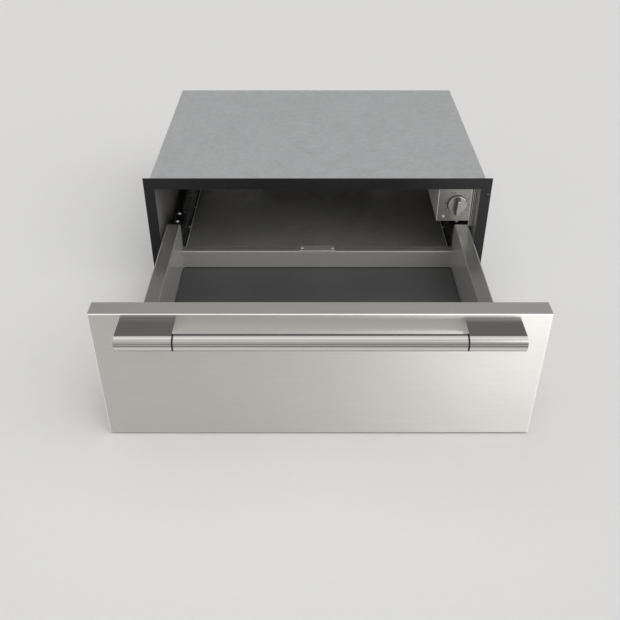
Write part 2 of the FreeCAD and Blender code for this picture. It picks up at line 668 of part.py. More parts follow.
def junction_box():
    """Open tray on the case's back for the supply wires."""
    half = JUNCTION_WIDTH / 2
    back = CASE_BACK - CASE_SHEET
    rear = back + JUNCTION_DEPTH - JUNCTION_SHEET
    gauge = JUNCTION_SHEET
    shell = box((KNOB_X - half, KNOB_X + half), (back, rear),
                (JUNCTION_RAISE, JUNCTION_RAISE + JUNCTION_HEIGHT))
    hollow = box((KNOB_X - half + gauge, KNOB_X + half - gauge), (back + gauge, rear),
                 (JUNCTION_RAISE + gauge, JUNCTION_RAISE + JUNCTION_HEIGHT - gauge))
    middle = V(KNOB_X, back, junction_middle())
    return drilled(shell.cut(hollow), [middle], HARNESS_RADIUS + HARNESS_GAP, V(0, 1, 0), CASE_LAP)


def junction_cover():
    """Lid of the junction box with the round entry for the supply conduit."""
    half = JUNCTION_WIDTH / 2
    rear = CASE_BACK - CASE_SHEET + JUNCTION_DEPTH
    entry = V(KNOB_X, rear, junction_middle())
    plate = box((KNOB_X - half, KNOB_X + half), (rear - JUNCTION_SHEET, rear),
                (JUNCTION_RAISE, JUNCTION_RAISE + JUNCTION_HEIGHT))
    return drilled(plate, [entry], ENTRY_RADIUS, V(0, 1, 0), JUNCTION_DEPTH / 2)


def terminal_block():
    """Three-way block beside the supply entry."""
    floor = CASE_BACK - CASE_SHEET + JUNCTION_SHEET
    low = JUNCTION_RAISE + JUNCTION_SHEET
    block = box((KNOB_X - TERMINAL_WIDTH / 2, KNOB_X + TERMINAL_WIDTH / 2),
                (floor, floor + TERMINAL_DEPTH), (low, low + TERMINAL_HEIGHT))
    pitch = TERMINAL_WIDTH / 3
    for i in range(3):
        seat = V(KNOB_X + (i - 1) * pitch, floor + TERMINAL_DEPTH, low + TERMINAL_HEIGHT / 2)
        block = block.cut(rod(pitch / 4, seat - V(0, TERMINAL_DEPTH / 2, 0), seat))
    return block


def harness_points():
    """Route of the wires: control box, above the ceiling, behind the back wall, junction box."""
    start = CONTROL_BACK - HARNESS_SETBACK
    end = CASE_BACK - CASE_SHEET + JUNCTION_SHEET + HARNESS_BEND
    middle = junction_middle()
    route = [(start, CEILING - HARNESS_BEND), (start, HARNESS_Z), (HARNESS_Y, HARNESS_Z),
             (HARNESS_Y, middle), (end, middle)]
    return [V(KNOB_X, y, z) for y, z in route]


def wiring_harness():
    """Sleeved wires from the junction box to the control box."""
    return tube_along(harness_points(), HARNESS_RADIUS, HARNESS_BEND)


# ---- Control box, thermostat and knob --------------------------------------------------------
def control_box():
    """Folded box under the ceiling, open to the front, with a wing to the cavity's wall."""
    profile = [(CONTROL_LEFT, CEILING), (CONTROL_LEFT, CONTROL_BOTTOM), (CONTROL_RIGHT, CONTROL_BOTTOM),
               (CONTROL_RIGHT, CEILING)]
    shell = folded(profile[::-1], CONTROL_SHEET, "y", FASCIA_BACK, CONTROL_BACK)
    rear = box((CONTROL_LEFT + CONTROL_SHEET / 2, CONTROL_RIGHT - CONTROL_SHEET / 2),
               (CONTROL_BACK - CONTROL_SHEET, CONTROL_BACK), (CONTROL_BOTTOM + CONTROL_SHEET / 2, CEILING))
    front = FASCIA_BACK + WING_STEP
    wing = [(CAVITY_SIDE, front + WING_DEPTH), (CAVITY_SIDE, front), (CONTROL_RIGHT, front)]
    shell = joined([shell, rear, folded(wing, CONTROL_SHEET, "z", CONTROL_BOTTOM, CEILING)])
    shell = drilled(shell, wing_screw_seats(), SCREW_RADIUS, V(1, 0, 0), CONTROL_SHEET)
    return drilled(shell, [V(KNOB_X, CONTROL_BACK, CEILING - BULB_DROP)], CAPILLARY_RADIUS + THREAD_GAP,
                   V(0, 1, 0), CAPILLARY_REACH)


def wing_screw_seats():
    """Two screws through the wing into the cavity's wall."""
    y = FASCIA_BACK + WING_STEP + WING_DEPTH / 2
    third = (CEILING - CONTROL_BOTTOM) / 3
    return [V(CAVITY_SIDE - CONTROL_SHEET, y, CONTROL_BOTTOM + third * n) for n in (1, 2)]


def control_fascia():
    """Face plate of the control box with the holes of the shaft and the lamp."""
    plate = box((CONTROL_LEFT, CONTROL_RIGHT), (CONTROL_FACE, FASCIA_BACK), (CONTROL_BOTTOM, CEILING))
    rim = [e for e in plate.Edges if e.BoundBox.YMax < CONTROL_FACE + FASCIA_THICKNESS / 2]
    plate = plate.makeFillet(FASCIA_EDGE, rim)
    plate = drilled(plate, [V(KNOB_X, CONTROL_FACE, KNOB_Z)], THERMOSTAT_BUSH_RADIUS, V(0, 1, 0),
                    FASCIA_THICKNESS * 2)
    return drilled(plate, [V(LAMP_X, CONTROL_FACE, LAMP_Z)], LAMP_BODY_RADIUS, V(0, 1, 0),
                   FASCIA_THICKNESS * 2)


def thermostat_body():
    """Thermostat behind the fascia, its bush in the fascia's hole around the shaft."""
    half_x = THERMOSTAT_WIDTH / 2
    half_z = THERMOSTAT_HEIGHT / 2
    outline = [(KNOB_X - half_x, KNOB_Z - half_z), (KNOB_X + half_x, KNOB_Z - half_z),
               (KNOB_X + half_x, KNOB_Z + half_z), (KNOB_X - half_x, KNOB_Z + half_z)]
    case = prism(outline, [THERMOSTAT_CORNER] * 4, "y", FASCIA_BACK, FASCIA_BACK + THERMOSTAT_DEPTH)
    centre = V(KNOB_X, FASCIA_BACK, KNOB_Z)
    front = V(KNOB_X, FASCIA_BACK - THERMOSTAT_BUSH_LENGTH, KNOB_Z)
    body = joined([case, rod(THERMOSTAT_BUSH_RADIUS, front, centre + V(0, THERMOSTAT_DEPTH / 2, 0))])
    return body.cut(rod(SHAFT_RADIUS + SHAFT_FIT, front, centre + V(0, SHAFT_SEAT + SHAFT_FIT, 0)))


def thermostat_shaft():
    """Shaft of the thermostat, flattened where the knob grips it."""
    rear = V(KNOB_X, FASCIA_BACK + SHAFT_SEAT, KNOB_Z)
    front = V(KNOB_X, CONTROL_FACE - KNOB_GAP - KNOB_SHAFT_DEPTH, KNOB_Z)
    neck = V(KNOB_X, CONTROL_FACE - KNOB_GAP - KNOB_SKIRT / 2, KNOB_Z)
    return rod(SHAFT_RADIUS, front, rear).cut(shaft_flat(front, neck))


def shaft_flat(front, neck):
    """Block that leaves the flat of the shaft when cut away."""
    return box((KNOB_X - SHAFT_RADIUS, KNOB_X + SHAFT_RADIUS), (front.y, neck.y),
               (KNOB_Z + SHAFT_RADIUS / 2, KNOB_Z + SHAFT_RADIUS))


def knob():
    """Turned skirt with a raised, waisted grip and a hub that fits the shaft."""
    rear = CONTROL_FACE - KNOB_GAP
    front = rear - KNOB_HEIGHT
    skirt = rod(KNOB_RADIUS, V(KNOB_X, rear, KNOB_Z), V(KNOB_X, rear - KNOB_SKIRT, KNOB_Z))
    rim = [e for e in skirt.Edges if e.BoundBox.YMax < rear - KNOB_SKIRT / 2]
    skirt = skirt.makeFillet(KNOB_SKIRT / 4, rim)
    base = KNOB_GRIP / 2
    tip = KNOB_GRIP / 3
    outline = [(KNOB_X - base, KNOB_Z - KNOB_RADIUS), (KNOB_X + base, KNOB_Z - KNOB_RADIUS),
               (KNOB_X + tip, KNOB_Z + KNOB_RADIUS), (KNOB_X - tip, KNOB_Z + KNOB_RADIUS)]
    grip = prism(outline, [0, 0, 0, 0], "y", rear - KNOB_SKIRT / 2, front)
    cone = Part.makeCone(KNOB_RADIUS, KNOB_TIP_RADIUS, KNOB_HEIGHT, V(KNOB_X, rear, KNOB_Z), V(0, -1, 0))
    grip = grip.common(cone)
    top = [e for e in grip.Edges if e.BoundBox.YMax < front + KNOB_SKIRT / 4]
    body = joined([skirt, grip.makeFillet(KNOB_SKIRT / 4, top)])
    deep = V(KNOB_X, rear - KNOB_SHAFT_DEPTH, KNOB_Z)
    neck = V(KNOB_X, rear - KNOB_SKIRT / 2, KNOB_Z)
    bore = rod(SHAFT_RADIUS, V(KNOB_X, rear, KNOB_Z), deep)
    return body.cut(bore.cut(shaft_flat(deep, neck)))


def lamp_body():
    """Holder of the pilot lamp, behind the fascia's hole."""
    start = V(LAMP_X, CONTROL_FACE, LAMP_Z)
    return rod(LAMP_BODY_RADIUS, start, start + V(0, LAMP_BODY_LENGTH, 0))


def lamp_lens():
    """Domed lens of the pilot lamp."""
    return dome(LAMP_RADIUS, LAMP_HEIGHT, V(LAMP_X, CONTROL_FACE, LAMP_Z), V(0, -1, 0))


# ---- Drawer front ----------------------------------------------------------------------------
def front_skin():
    """Folded pan with a narrow lip behind: the visible front."""
    half = FRONT_WIDTH / 2
    gauge = FRONT_SHEET
    pan = box((-half, half), (FRONT_FACE, FRONT_BACK), (FRONT_RAISE, FRONT_TOP))
    outer = [e for e in pan.Edges if e.BoundBox.YMax < FRONT_FACE + gauge]
    pan = pan.makeFillet(FRONT_EDGE_RADIUS, outer)
    pan = pan.cut(box((-half + gauge, half - gauge), (FRONT_FACE + gauge, PANEL_BACK),
                      (FRONT_RAISE + gauge, FRONT_TOP - gauge)))
    pan = pan.cut(box((-half + FRONT_LIP, half - FRONT_LIP), (PANEL_BACK, FRONT_BACK),
                      (FRONT_RAISE + FRONT_LIP, FRONT_TOP - FRONT_LIP)))
    pan = drilled(pan, panel_screw_seats(), SCREW_RADIUS, V(0, 1, 0), gauge)
    return drilled(pan, handle_hole_seats(), HANDLE_SCREW_RADIUS + HOLE_GAP, V(0, 1, 0), 2 * gauge)


def panel_screw_seats():
    """Screws through the lip that hold the inner panel."""
    edge = FRONT_LIP - SCREW_HEAD_RADIUS - SCREW_MARGIN
    wide = FRONT_WIDTH / 2 - edge
    low = FRONT_RAISE + edge
    high = FRONT_TOP - edge
    rows = [(wide * share, z) for share in PANEL_SCREW_SHARES for z in (low, high)]
    rows.append((wide, (low + high) / 2))
    points = [(side * x, z) for x, z in rows for side in (-1, 1)]
    return [V(x, FRONT_BACK, z) for x, z in points]


def handle_hole_seats():
    """Places of the four handle screws on the front's face."""
    return [V(side * x, FRONT_FACE, BAR_Z) for side in (-1, 1) for x in BRACKET_HOLES]


def inner_panel():
    """Shallow pan inside the front, behind the insulation."""
    half = FRONT_WIDTH / 2 - FRONT_SHEET - INNER_PANEL_GAP
    low = FRONT_RAISE + FRONT_SHEET + INNER_PANEL_GAP
    high = FRONT_TOP - FRONT_SHEET - INNER_PANEL_GAP
    gauge = INNER_PANEL_SHEET
    pan = box((-half, half), (PANEL_BACK - INNER_PANEL_RIM, PANEL_BACK), (low, high))
    pan = pan.cut(box((-half + gauge, half - gauge), (PANEL_BACK - INNER_PANEL_RIM, PANEL_BACK - gauge),
                      (low + gauge, high - gauge)))
    pan = drilled(pan, panel_screw_seats(), SCREW_RADIUS, V(0, 1, 0), FRONT_SHEET + 2 * gauge)
    return drilled(pan, both_sides(angle_screw_seats()), SCREW_RADIUS, V(0, 1, 0), ANGLE_SHEET + 2 * gauge)


def front_insulation():
    """Insulating slab in the front, recessed around the handle's backing strips."""
    inset = FRONT_SHEET + INNER_PANEL_GAP + INNER_PANEL_SHEET + BLANKET_GAP
    half = FRONT_WIDTH / 2 - inset
    front = FRONT_FACE + FRONT_SHEET
    back = PANEL_BACK - INNER_PANEL_SHEET
    slab = box((-half, half), (front, back), (FRONT_RAISE + inset, FRONT_TOP - inset))
    depth = BACKING_THICKNESS + HANDLE_SCREW_HEAD_HEIGHT + BLANKET_GAP
    reach = BACKING_MARGIN + BLANKET_GAP
    for side in (-1, 1):
        ends = sorted(side * x for x in BRACKET_HOLES)
        slab = slab.cut(box((ends[0] - reach, ends[1] + reach), (front, front + depth),
                            (BAR_Z - reach, BAR_Z + reach)))
    seats = panel_screw_seats() + both_sides(angle_screw_seats())
    return drilled(slab, seats, SCREW_RADIUS + HOLE_GAP, V(0, 1, 0), SCREW_LENGTH + HOLE_GAP)


def front_gasket():
    """Seal around the back of the front, rounded where it meets the flange."""
    half = FRONT_WIDTH / 2 - GASKET_INSET
    low = FRONT_RAISE + GASKET_INSET
    high = CASE_HEIGHT - BEND_RADIUS
    back = FRONT_BACK + CLOSED_GAP - GASKET_GAP
    outline = [(-half, low), (half, low), (half, high), (-half, high)]
    ring = prism(outline, [GASKET_WIDTH] * 4, "y", FRONT_BACK, back)
    width = GASKET_WIDTH
    hole = [(-half + width, low + width), (half - width, low + width), (half - width, high - width),
            (-half + width, high - width)]
    return ring.cut(prism(hole, [BEND_RADIUS] * 4, "y", FRONT_BACK, back))


# ---- Handle ----------------------------------------------------------------------------------
def handle_bar():
    """Round tube of the handle."""
    tube = rod(BAR_RADIUS, V(-BAR_END, BAR_Y, BAR_Z), V(BAR_END, BAR_Y, BAR_Z))
    return tube.cut(rod(BAR_RADIUS - BAR_WALL, V(-BAR_END, BAR_Y, BAR_Z), V(BAR_END, BAR_Y, BAR_Z)))


def handle_plug():
    """Plug at the bar's right end: its collar shows as a dark ring beside the bracket."""
    def on_axis(x):
        return V(x, BAR_Y, BAR_Z)
    inside = rod(BAR_RADIUS - BAR_WALL, on_axis(BAR_END - PLUG_DEPTH), on_axis(BAR_END))
    collar = rod(BAR_RADIUS - COLLAR_STEP, on_axis(BAR_END), on_axis(BRACKET_IN))
    spigot = rod(spigot_radius(), on_axis(BRACKET_IN), on_axis(BRACKET_IN + SPIGOT_DEPTH))
    return joined([inside, collar, spigot])


def spigot_radius():
    """Radius of the plug's end, which passes through the bracket's inner wall."""
    return BAR_RADIUS - BRACKET_WALL - SPIGOT_GAP


def bracket_outline(radius, back):
    """Bullet profile in the Y-Z plane: flat top and bottom, half-round front."""
    start = BAR_Y
    return [(back, BAR_Z - radius), (start, BAR_Z - radius), (start - radius, BAR_Z),
            (start, BAR_Z + radius), (back, BAR_Z + radius)]


def bullet(radius, x_start, x_end):
    """Block with the bracket's profile."""
    points = bracket_outline(radius, FRONT_FACE)
    place = in_plane("x", x_start)
    spots = [place(p) for p in points]
    edges = [Part.makeLine(spots[0], spots[1]), Part.Arc(spots[1], spots[2], spots[3]).toShape(),
             Part.makeLine(spots[3], spots[4]), Part.makeLine(spots[4], spots[0])]
    return Part.Face(Part.Wire(edges)).extrude(V(x_end - x_start, 0, 0))


def handle_bracket():
    """Hollow right-hand bracket with two screw bosses and the socket of the plug."""
    shell = bullet(BAR_RADIUS, BRACKET_IN, BRACKET_OUT)
    inner = bullet(BAR_RADIUS - BRACKET_WALL, BRACKET_IN + BRACKET_WALL, BRACKET_OUT - BRACKET_WALL)
    shell = shell.cut(inner)
    bosses = []
    for x in BRACKET_HOLES:
        bosses.append(box((x - BOSS_WIDTH / 2, x + BOSS_WIDTH / 2), (FRONT_FACE - BOSS_DEPTH, FRONT_FACE),
                          (BAR_Z - BAR_RADIUS + BRACKET_WALL, BAR_Z + BAR_RADIUS - BRACKET_WALL)))
    shell = joined([shell] + bosses)
    for x in BRACKET_HOLES:
        seat = V(x, FRONT_FACE, BAR_Z)
        shell = shell.cut(rod(HANDLE_SCREW_RADIUS + THREAD_GAP, seat - V(0, BOSS_HOLE_DEPTH, 0), seat))
    axis = V(BRACKET_IN, BAR_Y, BAR_Z)
    return shell.cut(rod(spigot_radius() + SPIGOT_GAP / 2, axis, axis + V(BRACKET_WALL * 2, 0, 0)))


def handle_backing():
    """Right-hand strip inside the front that spreads the handle's load."""
    low, high = BRACKET_HOLES
    front = FRONT_FACE + FRONT_SHEET
    margin = BACKING_MARGIN
    outline = [(low - margin, BAR_Z - margin), (high + margin, BAR_Z - margin),
               (high + margin, BAR_Z + margin), (low - margin, BAR_Z + margin)]
    strip = prism(outline, [margin / 3] * 4, "y", front, front + BACKING_THICKNESS)
    seats = [V(x, front, BAR_Z) for x in BRACKET_HOLES]
    return drilled(strip, seats, HANDLE_SCREW_RADIUS + HOLE_GAP, V(0, 1, 0), 2 * BACKING_THICKNESS)


def handle_screws():
    """Screws from inside the front into the right-hand bracket."""
    seat_y = FRONT_FACE + FRONT_SHEET + BACKING_THICKNESS
    length = seat_y - FRONT_FACE + HANDLE_SCREW_REACH
    return [fastener(HANDLE_SCREW_RADIUS, length, HANDLE_SCREW_HEAD_RADIUS, HANDLE_SCREW_HEAD_HEIGHT,
                     V(x, seat_y, BAR_Z), V(0, 1, 0)) for x in BRACKET_HOLES]


# ---- Drawer box ------------------------------------------------------------------------------
def drawer_side():
    """Right-hand side: a folded hollow wall, open below, with a ledge for the tray."""
    ledge = SIDE_INNER - LEDGE
    profile = [(ledge, LEDGE_TOP), (SIDE_INNER, LEDGE_TOP), (SIDE_INNER, SIDE_TOP), (SIDE_OUTER, SIDE_TOP),
               (SIDE_OUTER, LEDGE_TOP), (SIDE_OUTER - SIDE_RETURN, LEDGE_TOP)]
    wall = folded(profile, DRAWER_SHEET, "y", PANEL_BACK, DRAWER_REAR, (2, 3))
    relief = box((ledge, SIDE_INNER), (RAIL_FRONT - LEDGE - TRAY_GAP, DRAWER_REAR),
                 (LEDGE_TOP - DRAWER_SHEET, LEDGE_TOP + BEND_RADIUS))
    return wall.cut(relief)


def rear_rail():
    """Folded rail between the sides, open below, with a ledge for the tray."""
    profile = [(RAIL_FRONT - LEDGE, LEDGE_TOP), (RAIL_FRONT, LEDGE_TOP), (RAIL_FRONT, RAIL_TOP),
               (DRAWER_REAR, RAIL_TOP), (DRAWER_REAR, LEDGE_TOP), (DRAWER_REAR - SIDE_RETURN, LEDGE_TOP)]
    rail = folded(profile, DRAWER_SHEET, "x", -SIDE_INNER, SIDE_INNER, (2, 3))
    return drilled(rail, rivet_seats(), RIVET_RADIUS, V(0, 0, 1), 2 * DRAWER_SHEET)


def base_tray():
    """Coated pan that lies on the ledges."""
    half = SIDE_INNER - TRAY_GAP
    front = PANEL_BACK + TRAY_GAP
    back = RAIL_FRONT - TRAY_GAP
    gauge = TRAY_SHEET
    pan = box((-half, half), (front, back), (LEDGE_TOP, LEDGE_TOP + TRAY_LIP))
    upright = [e for e in pan.Edges if e.BoundBox.ZLength > TRAY_LIP / 2]
    pan = pan.makeFillet(TRAY_CORNER, upright)
    hollow = box((-half + gauge, half - gauge), (front + gauge, back - gauge),
                 (LEDGE_TOP + gauge, LEDGE_TOP + TRAY_LIP))
    upright = [e for e in hollow.Edges if e.BoundBox.ZLength > gauge]
    return pan.cut(hollow.makeFillet(TRAY_CORNER - gauge, upright))


def name_plate():
    """Bare plate on the rear rail with a rolled front edge."""
    half = PLATE_WIDTH / 2
    top = RAIL_TOP + PLATE_THICKNESS
    plate = box((-half, half), (RAIL_FRONT, DRAWER_REAR), (RAIL_TOP, top))
    roll = rod(PLATE_ROLL / 2, V(-half, RAIL_FRONT + PLATE_ROLL / 2, RAIL_TOP + PLATE_ROLL / 2),
               V(half, RAIL_FRONT + PLATE_ROLL / 2, RAIL_TOP + PLATE_ROLL / 2))
    return drilled(joined([plate, roll]), rivet_seats(), RIVET_RADIUS, V(0, 0, 1), 2 * PLATE_THICKNESS)


def rivet_seats():
    """Places of the two rivets on the plate."""
    x = PLATE_WIDTH / 2 - RIVET_INSET
    return [V(side * x, (RAIL_FRONT + DRAWER_REAR) / 2, RAIL_TOP + PLATE_THICKNESS) for side in (-1, 1)]


def plate_rivets():
    """Rivets that hold the name plate."""
    length = PLATE_THICKNESS + DRAWER_SHEET
    return [fastener(RIVET_RADIUS, length, RIVET_HEAD_RADIUS, RIVET_HEIGHT, seat, V(0, 0, 1))
            for seat in rivet_seats()]


def angle_screw_seats():
    """Screws that hold the right-hand corner angle to the inner panel."""
    x = HOLLOW_FACE + ANGLE_FOOT - SCREW_HEAD_RADIUS * 2
    y = PANEL_BACK + ANGLE_SHEET
    return [V(x, y, angle_middle() + step * ANGLE_HEIGHT / 3) for step in (-1, 1)]


def angle_middle():
    """Height of the corner angle's centre."""
    return (LEDGE_TOP + SIDE_TOP) / 2


def corner_angle():
    """Right-hand angle inside the hollow side that joins it to the front."""
    profile = [(HOLLOW_FACE + ANGLE_FOOT, PANEL_BACK), (HOLLOW_FACE, PANEL_BACK), (HOLLOW_FACE, ANGLE_REAR)]
    low = angle_middle() - ANGLE_HEIGHT / 2
    high = low + ANGLE_HEIGHT
    tab = box((HOLLOW_FACE, HOLLOW_FACE + BUFFER_TAB), (ANGLE_REAR - ANGLE_SHEET, ANGLE_REAR),
              (STOP_BASE + ANGLE_SHEET, high))
    angle = joined([folded(profile, ANGLE_SHEET, "z", low, high), tab])
    return drilled(angle, angle_screw_seats(), SCREW_RADIUS, V(0, 1, 0), 2 * ANGLE_SHEET)


def drawer_screws():
    """All sheet-metal screws of the drawer."""
    screws = [screw(seat, V(0, 1, 0)) for seat in panel_screw_seats()]
    for seat in angle_screw_seats():
        fixed = screw(seat, V(0, 1, 0))
        screws += [fixed, mirrored(fixed)]
    return screws


# ---- Telescopic slides -----------------------------------------------------------------------
def slide_channel(web_face, tip, half, start, length, races):
    """C-shaped member: its web stands at one face, its flanges run to the tip, with ball races."""
    outline = [(tip, SLIDE_Z + half), (web_face, SLIDE_Z + half), (web_face, SLIDE_Z - half),
               (tip, SLIDE_Z - half)]
    if web_face < tip:
        outline.reverse()
    member = folded(outline, SLIDE_SHEET, "y", start, start + length)
    for race in races:
        for sign in (-1, 1):
            axis = V(RACE_X, start, SLIDE_Z + sign * race)
            member = member.cut(rod(BALL_RADIUS + BALL_CLEARANCE, axis, axis + V(0, length, 0)))
    return member


def slide_fixed():
    """Right-hand cabinet member, open towards the drawer."""
    tip = HOLLOW_FACE + FIXED_TIP
    return slide_channel(SLIDE_BACK_FACE, tip, FIXED_HALF, SLIDE_FRONT, SLIDE_LENGTH, [OUTER_RACE])


def slide_middle():
    """Right-hand middle member, running in the cabinet member at half the drawer's travel."""
    web = SLIDE_BACK_FACE - SLIDE_SHEET - RACE_GAP
    tip = HOLLOW_FACE + MIDDLE_TIP
    return slide_channel(web, tip, MIDDLE_HALF, MIDDLE_FRONT, SLIDE_LENGTH, [OUTER_RACE, INNER_RACE])


def slide_inner():
    """Right-hand drawer member, fixed inside the hollow side."""
    tip = SLIDE_BACK_FACE - 2 * SLIDE_SHEET - RACE_GAP - INNER_TIP
    start = INNER_SLIDE_REAR - INNER_SLIDE_LENGTH
    return slide_channel(HOLLOW_FACE, tip, INNER_HALF, start, INNER_SLIDE_LENGTH, [INNER_RACE])


def slide_race():
    """Right-hand ball cages and their balls, carried by the middle member."""
    outer_end = MIDDLE_FRONT + SLIDE_LENGTH - CAGE_INSET
    inner_start = MIDDLE_FRONT + CAGE_INSET * 2
    pieces = []
    for race, start in ((OUTER_RACE, outer_end - CAGE_LENGTH), (INNER_RACE, inner_start)):
        for sign in (-1, 1):
            pieces += ball_row(start, SLIDE_Z + sign * race)
    return pieces


def ball_row(start, height):
    """One cage strip with its balls."""
    half = CAGE_THICKNESS / 2
    strip = box((RACE_X - CAGE_WIDTH / 2, RACE_X + CAGE_WIDTH / 2), (start, start + CAGE_LENGTH),
                (height - half, height + half))
    pitch = CAGE_LENGTH / BALLS_PER_ROW
    balls = []
    for i in range(BALLS_PER_ROW):
        centre = V(RACE_X, start + pitch * (i + 0.5), height)
        strip = strip.cut(Part.makeSphere(BALL_RADIUS, centre))
        balls.append(Part.makeSphere(BALL_RADIUS, centre))
    return [strip] + balls


def slide_bracket():
    """Right-hand bracket: a leg behind the cabinet member, a foot on the cavity floor and a seat
    for the stop block above the member."""
    top = SLIDE_Z + FIXED_HALF
    foot = SUPPORT_FACE - FOOT_WIDTH
    profile = [(SUPPORT_FACE, top), (SUPPORT_FACE, FLOOR_HEIGHT), (foot, FLOOR_HEIGHT)]
    bracket = folded(profile, BRACKET_SHEET, "y", SLIDE_FRONT, SLIDE_FRONT + SLIDE_LENGTH)
    length = (STOP_FRONT, STOP_FRONT + STOP_LENGTH)
    tab = box((SLIDE_BACK_FACE, SUPPORT_FACE), length, (top - BRACKET_SHEET, STOP_TOP))
    seat = box((stop_face(), SUPPORT_FACE), length, (STOP_BASE, STOP_BASE + BRACKET_SHEET))
    bracket = joined([bracket, tab, seat])
    bracket = drilled(bracket, foot_bolt_seats(), BOLT_RADIUS, V(0, 0, 1), BRACKET_SHEET * 2)
    return drilled(bracket, stop_bolt_seats(), BOLT_RADIUS, V(0, 0, 1), STOP_TOP - STOP_BASE + BRACKET_SHEET)


def foot_bolt_seats():
    """Bolts of the right-hand foot."""
    return [V(FOOT_X, SLIDE_FRONT + FOOT_BOLT_START + FOOT_BOLT_PITCH * i, FLOOR_HEIGHT + BRACKET_SHEET)
            for i in range(FOOT_BOLTS)]


def stop_bolt_seats():
    """Bolts that go down through the right-hand stop block into its seat."""
    x = (stop_face() + SLIDE_BACK_FACE) / 2
    first = STOP_FRONT + STOP_BOLT_INSET
    return [V(x, y, STOP_TOP) for y in (first, first + STOP_BOLT_PITCH)]


def stop_face():
    """Inner face of the stop block."""
    return HOLLOW_FACE + STOP_GAP


def stop_block():
    """Right-hand moulded block that meets the corner angle when the drawer closes."""
    base = STOP_BASE + BRACKET_SHEET
    outline = [(STOP_FRONT, base), (STOP_FRONT + STOP_LENGTH, base),
               (STOP_FRONT + STOP_LENGTH, STOP_TOP), (STOP_FRONT, STOP_TOP)]
    block = prism(outline, [STOP_RADIUS] * 4, "x", stop_face(), SLIDE_BACK_FACE)
    return drilled(block, stop_bolt_seats(), BOLT_RADIUS, V(0, 0, 1), STOP_TOP - STOP_BASE)


def slide_bolts():
    """Bolts of both feet and both stop blocks."""
    right = [bolt(seat, V(0, 0, 1), BOLT_LENGTH) for seat in foot_bolt_seats()]
    right += [bolt(seat, V(0, 0, 1), STOP_TOP - STOP_BASE) for seat in stop_bolt_seats()]
    return right + [mirrored(b) for b in right]


# ---- Nodes -----------------------------------------------------------------------------------
def pair(name, piece):
    """Right-hand piece and its mirror image as two nodes."""
    pieces = piece if isinstance(piece, list) else [piece]
    return {name + "_right": pieces, name + "_left": [mirrored(p) for p in pieces]}


def case_nodes():
    """Everything that stays in the cabinet."""
    nodes = {
        "case_base": case_base(),
        "case_top": case_top(),
        "case_back": case_back(),
        "case_screws": case_screws(),
        "front_flange": front_flange(),
        "liner_floor": liner_floor(),
        "liner_top": liner_top(),
        "liner_left": liner_left(),
        "liner_right": liner_right(),
        "liner_back": liner_back(),
        "insulation_blanket": insulation_blanket(),
        "heating_element": heating_element(),
        "element_support": element_support(),
        "heater_cover": heater_cover(),
        "sensing_bulb": sensing_bulb(),
        "bulb_clips": bulb_clips(),
        "control_box": control_box(),
        "control_fascia": control_fascia(),
        "thermostat_body": thermostat_body(),
        "lamp_body": lamp_body(),
        "lamp_lens": lamp_lens(),
        "junction_box": junction_box(),
        "junction_cover": junction_cover(),
        "terminal_block": terminal_block(),
        "wiring_harness": wiring_harness(),
        "stop_blocks": [stop_block(), mirrored(stop_block())],
        "slide_bolts": slide_bolts(),
    }
    nodes.update(pair("case_side", case_side()))
    nodes.update(pair("slide_bracket", slide_bracket()))
    nodes.update(pair("slide_fixed", slide_fixed()))
    return nodes


def knob_nodes():
    """What turns with the knob."""
    return {"knob": knob(), "thermostat_shaft": thermostat_shaft()}


def slide_nodes():
    """Middle members and their ball cages."""
    return {**pair("slide_middle", slide_middle()), **pair("slide_race", slide_race())}


def drawer_nodes():
    """Everything that rolls out with the front."""
    plug = handle_plug()
    nodes = {
        "front_skin": front_skin(),
        "inner_panel": inner_panel(),
        "front_insulation": front_insulation(),
        "front_gasket": front_gasket(),
        "handle_bar": handle_bar(),
        "handle_plugs": [plug, mirrored(plug)],
        "handle_backing": [handle_backing(), mirrored(handle_backing())],
        "handle_screws": handle_screws() + [mirrored(s) for s in handle_screws()],
        "corner_angles": [corner_angle(), mirrored(corner_angle())],
        "rear_rail": rear_rail(),
        "base_tray": base_tray(),
        "name_plate": name_plate(),
        "plate_rivets": plate_rivets(),
        "drawer_screws": drawer_screws(),
    }
    nodes.update(pair("handle_bracket", handle_bracket()))
    nodes.update(pair("drawer_side", drawer_side()))
    nodes.update(pair("slide_inner", slide_inner()))
    return nodes


def main():
    """Write one STEP file per node."""
    os.makedirs("parts", exist_ok=True)
    nodes = {**case_nodes(), **knob_nodes(), **slide_nodes(), **drawer_nodes()}
    for name, piece in nodes.items():
        shape = Part.makeCompound(piece) if isinstance(piece, list) else piece
        shape.exportStep("parts/" + name + ".step")


main()
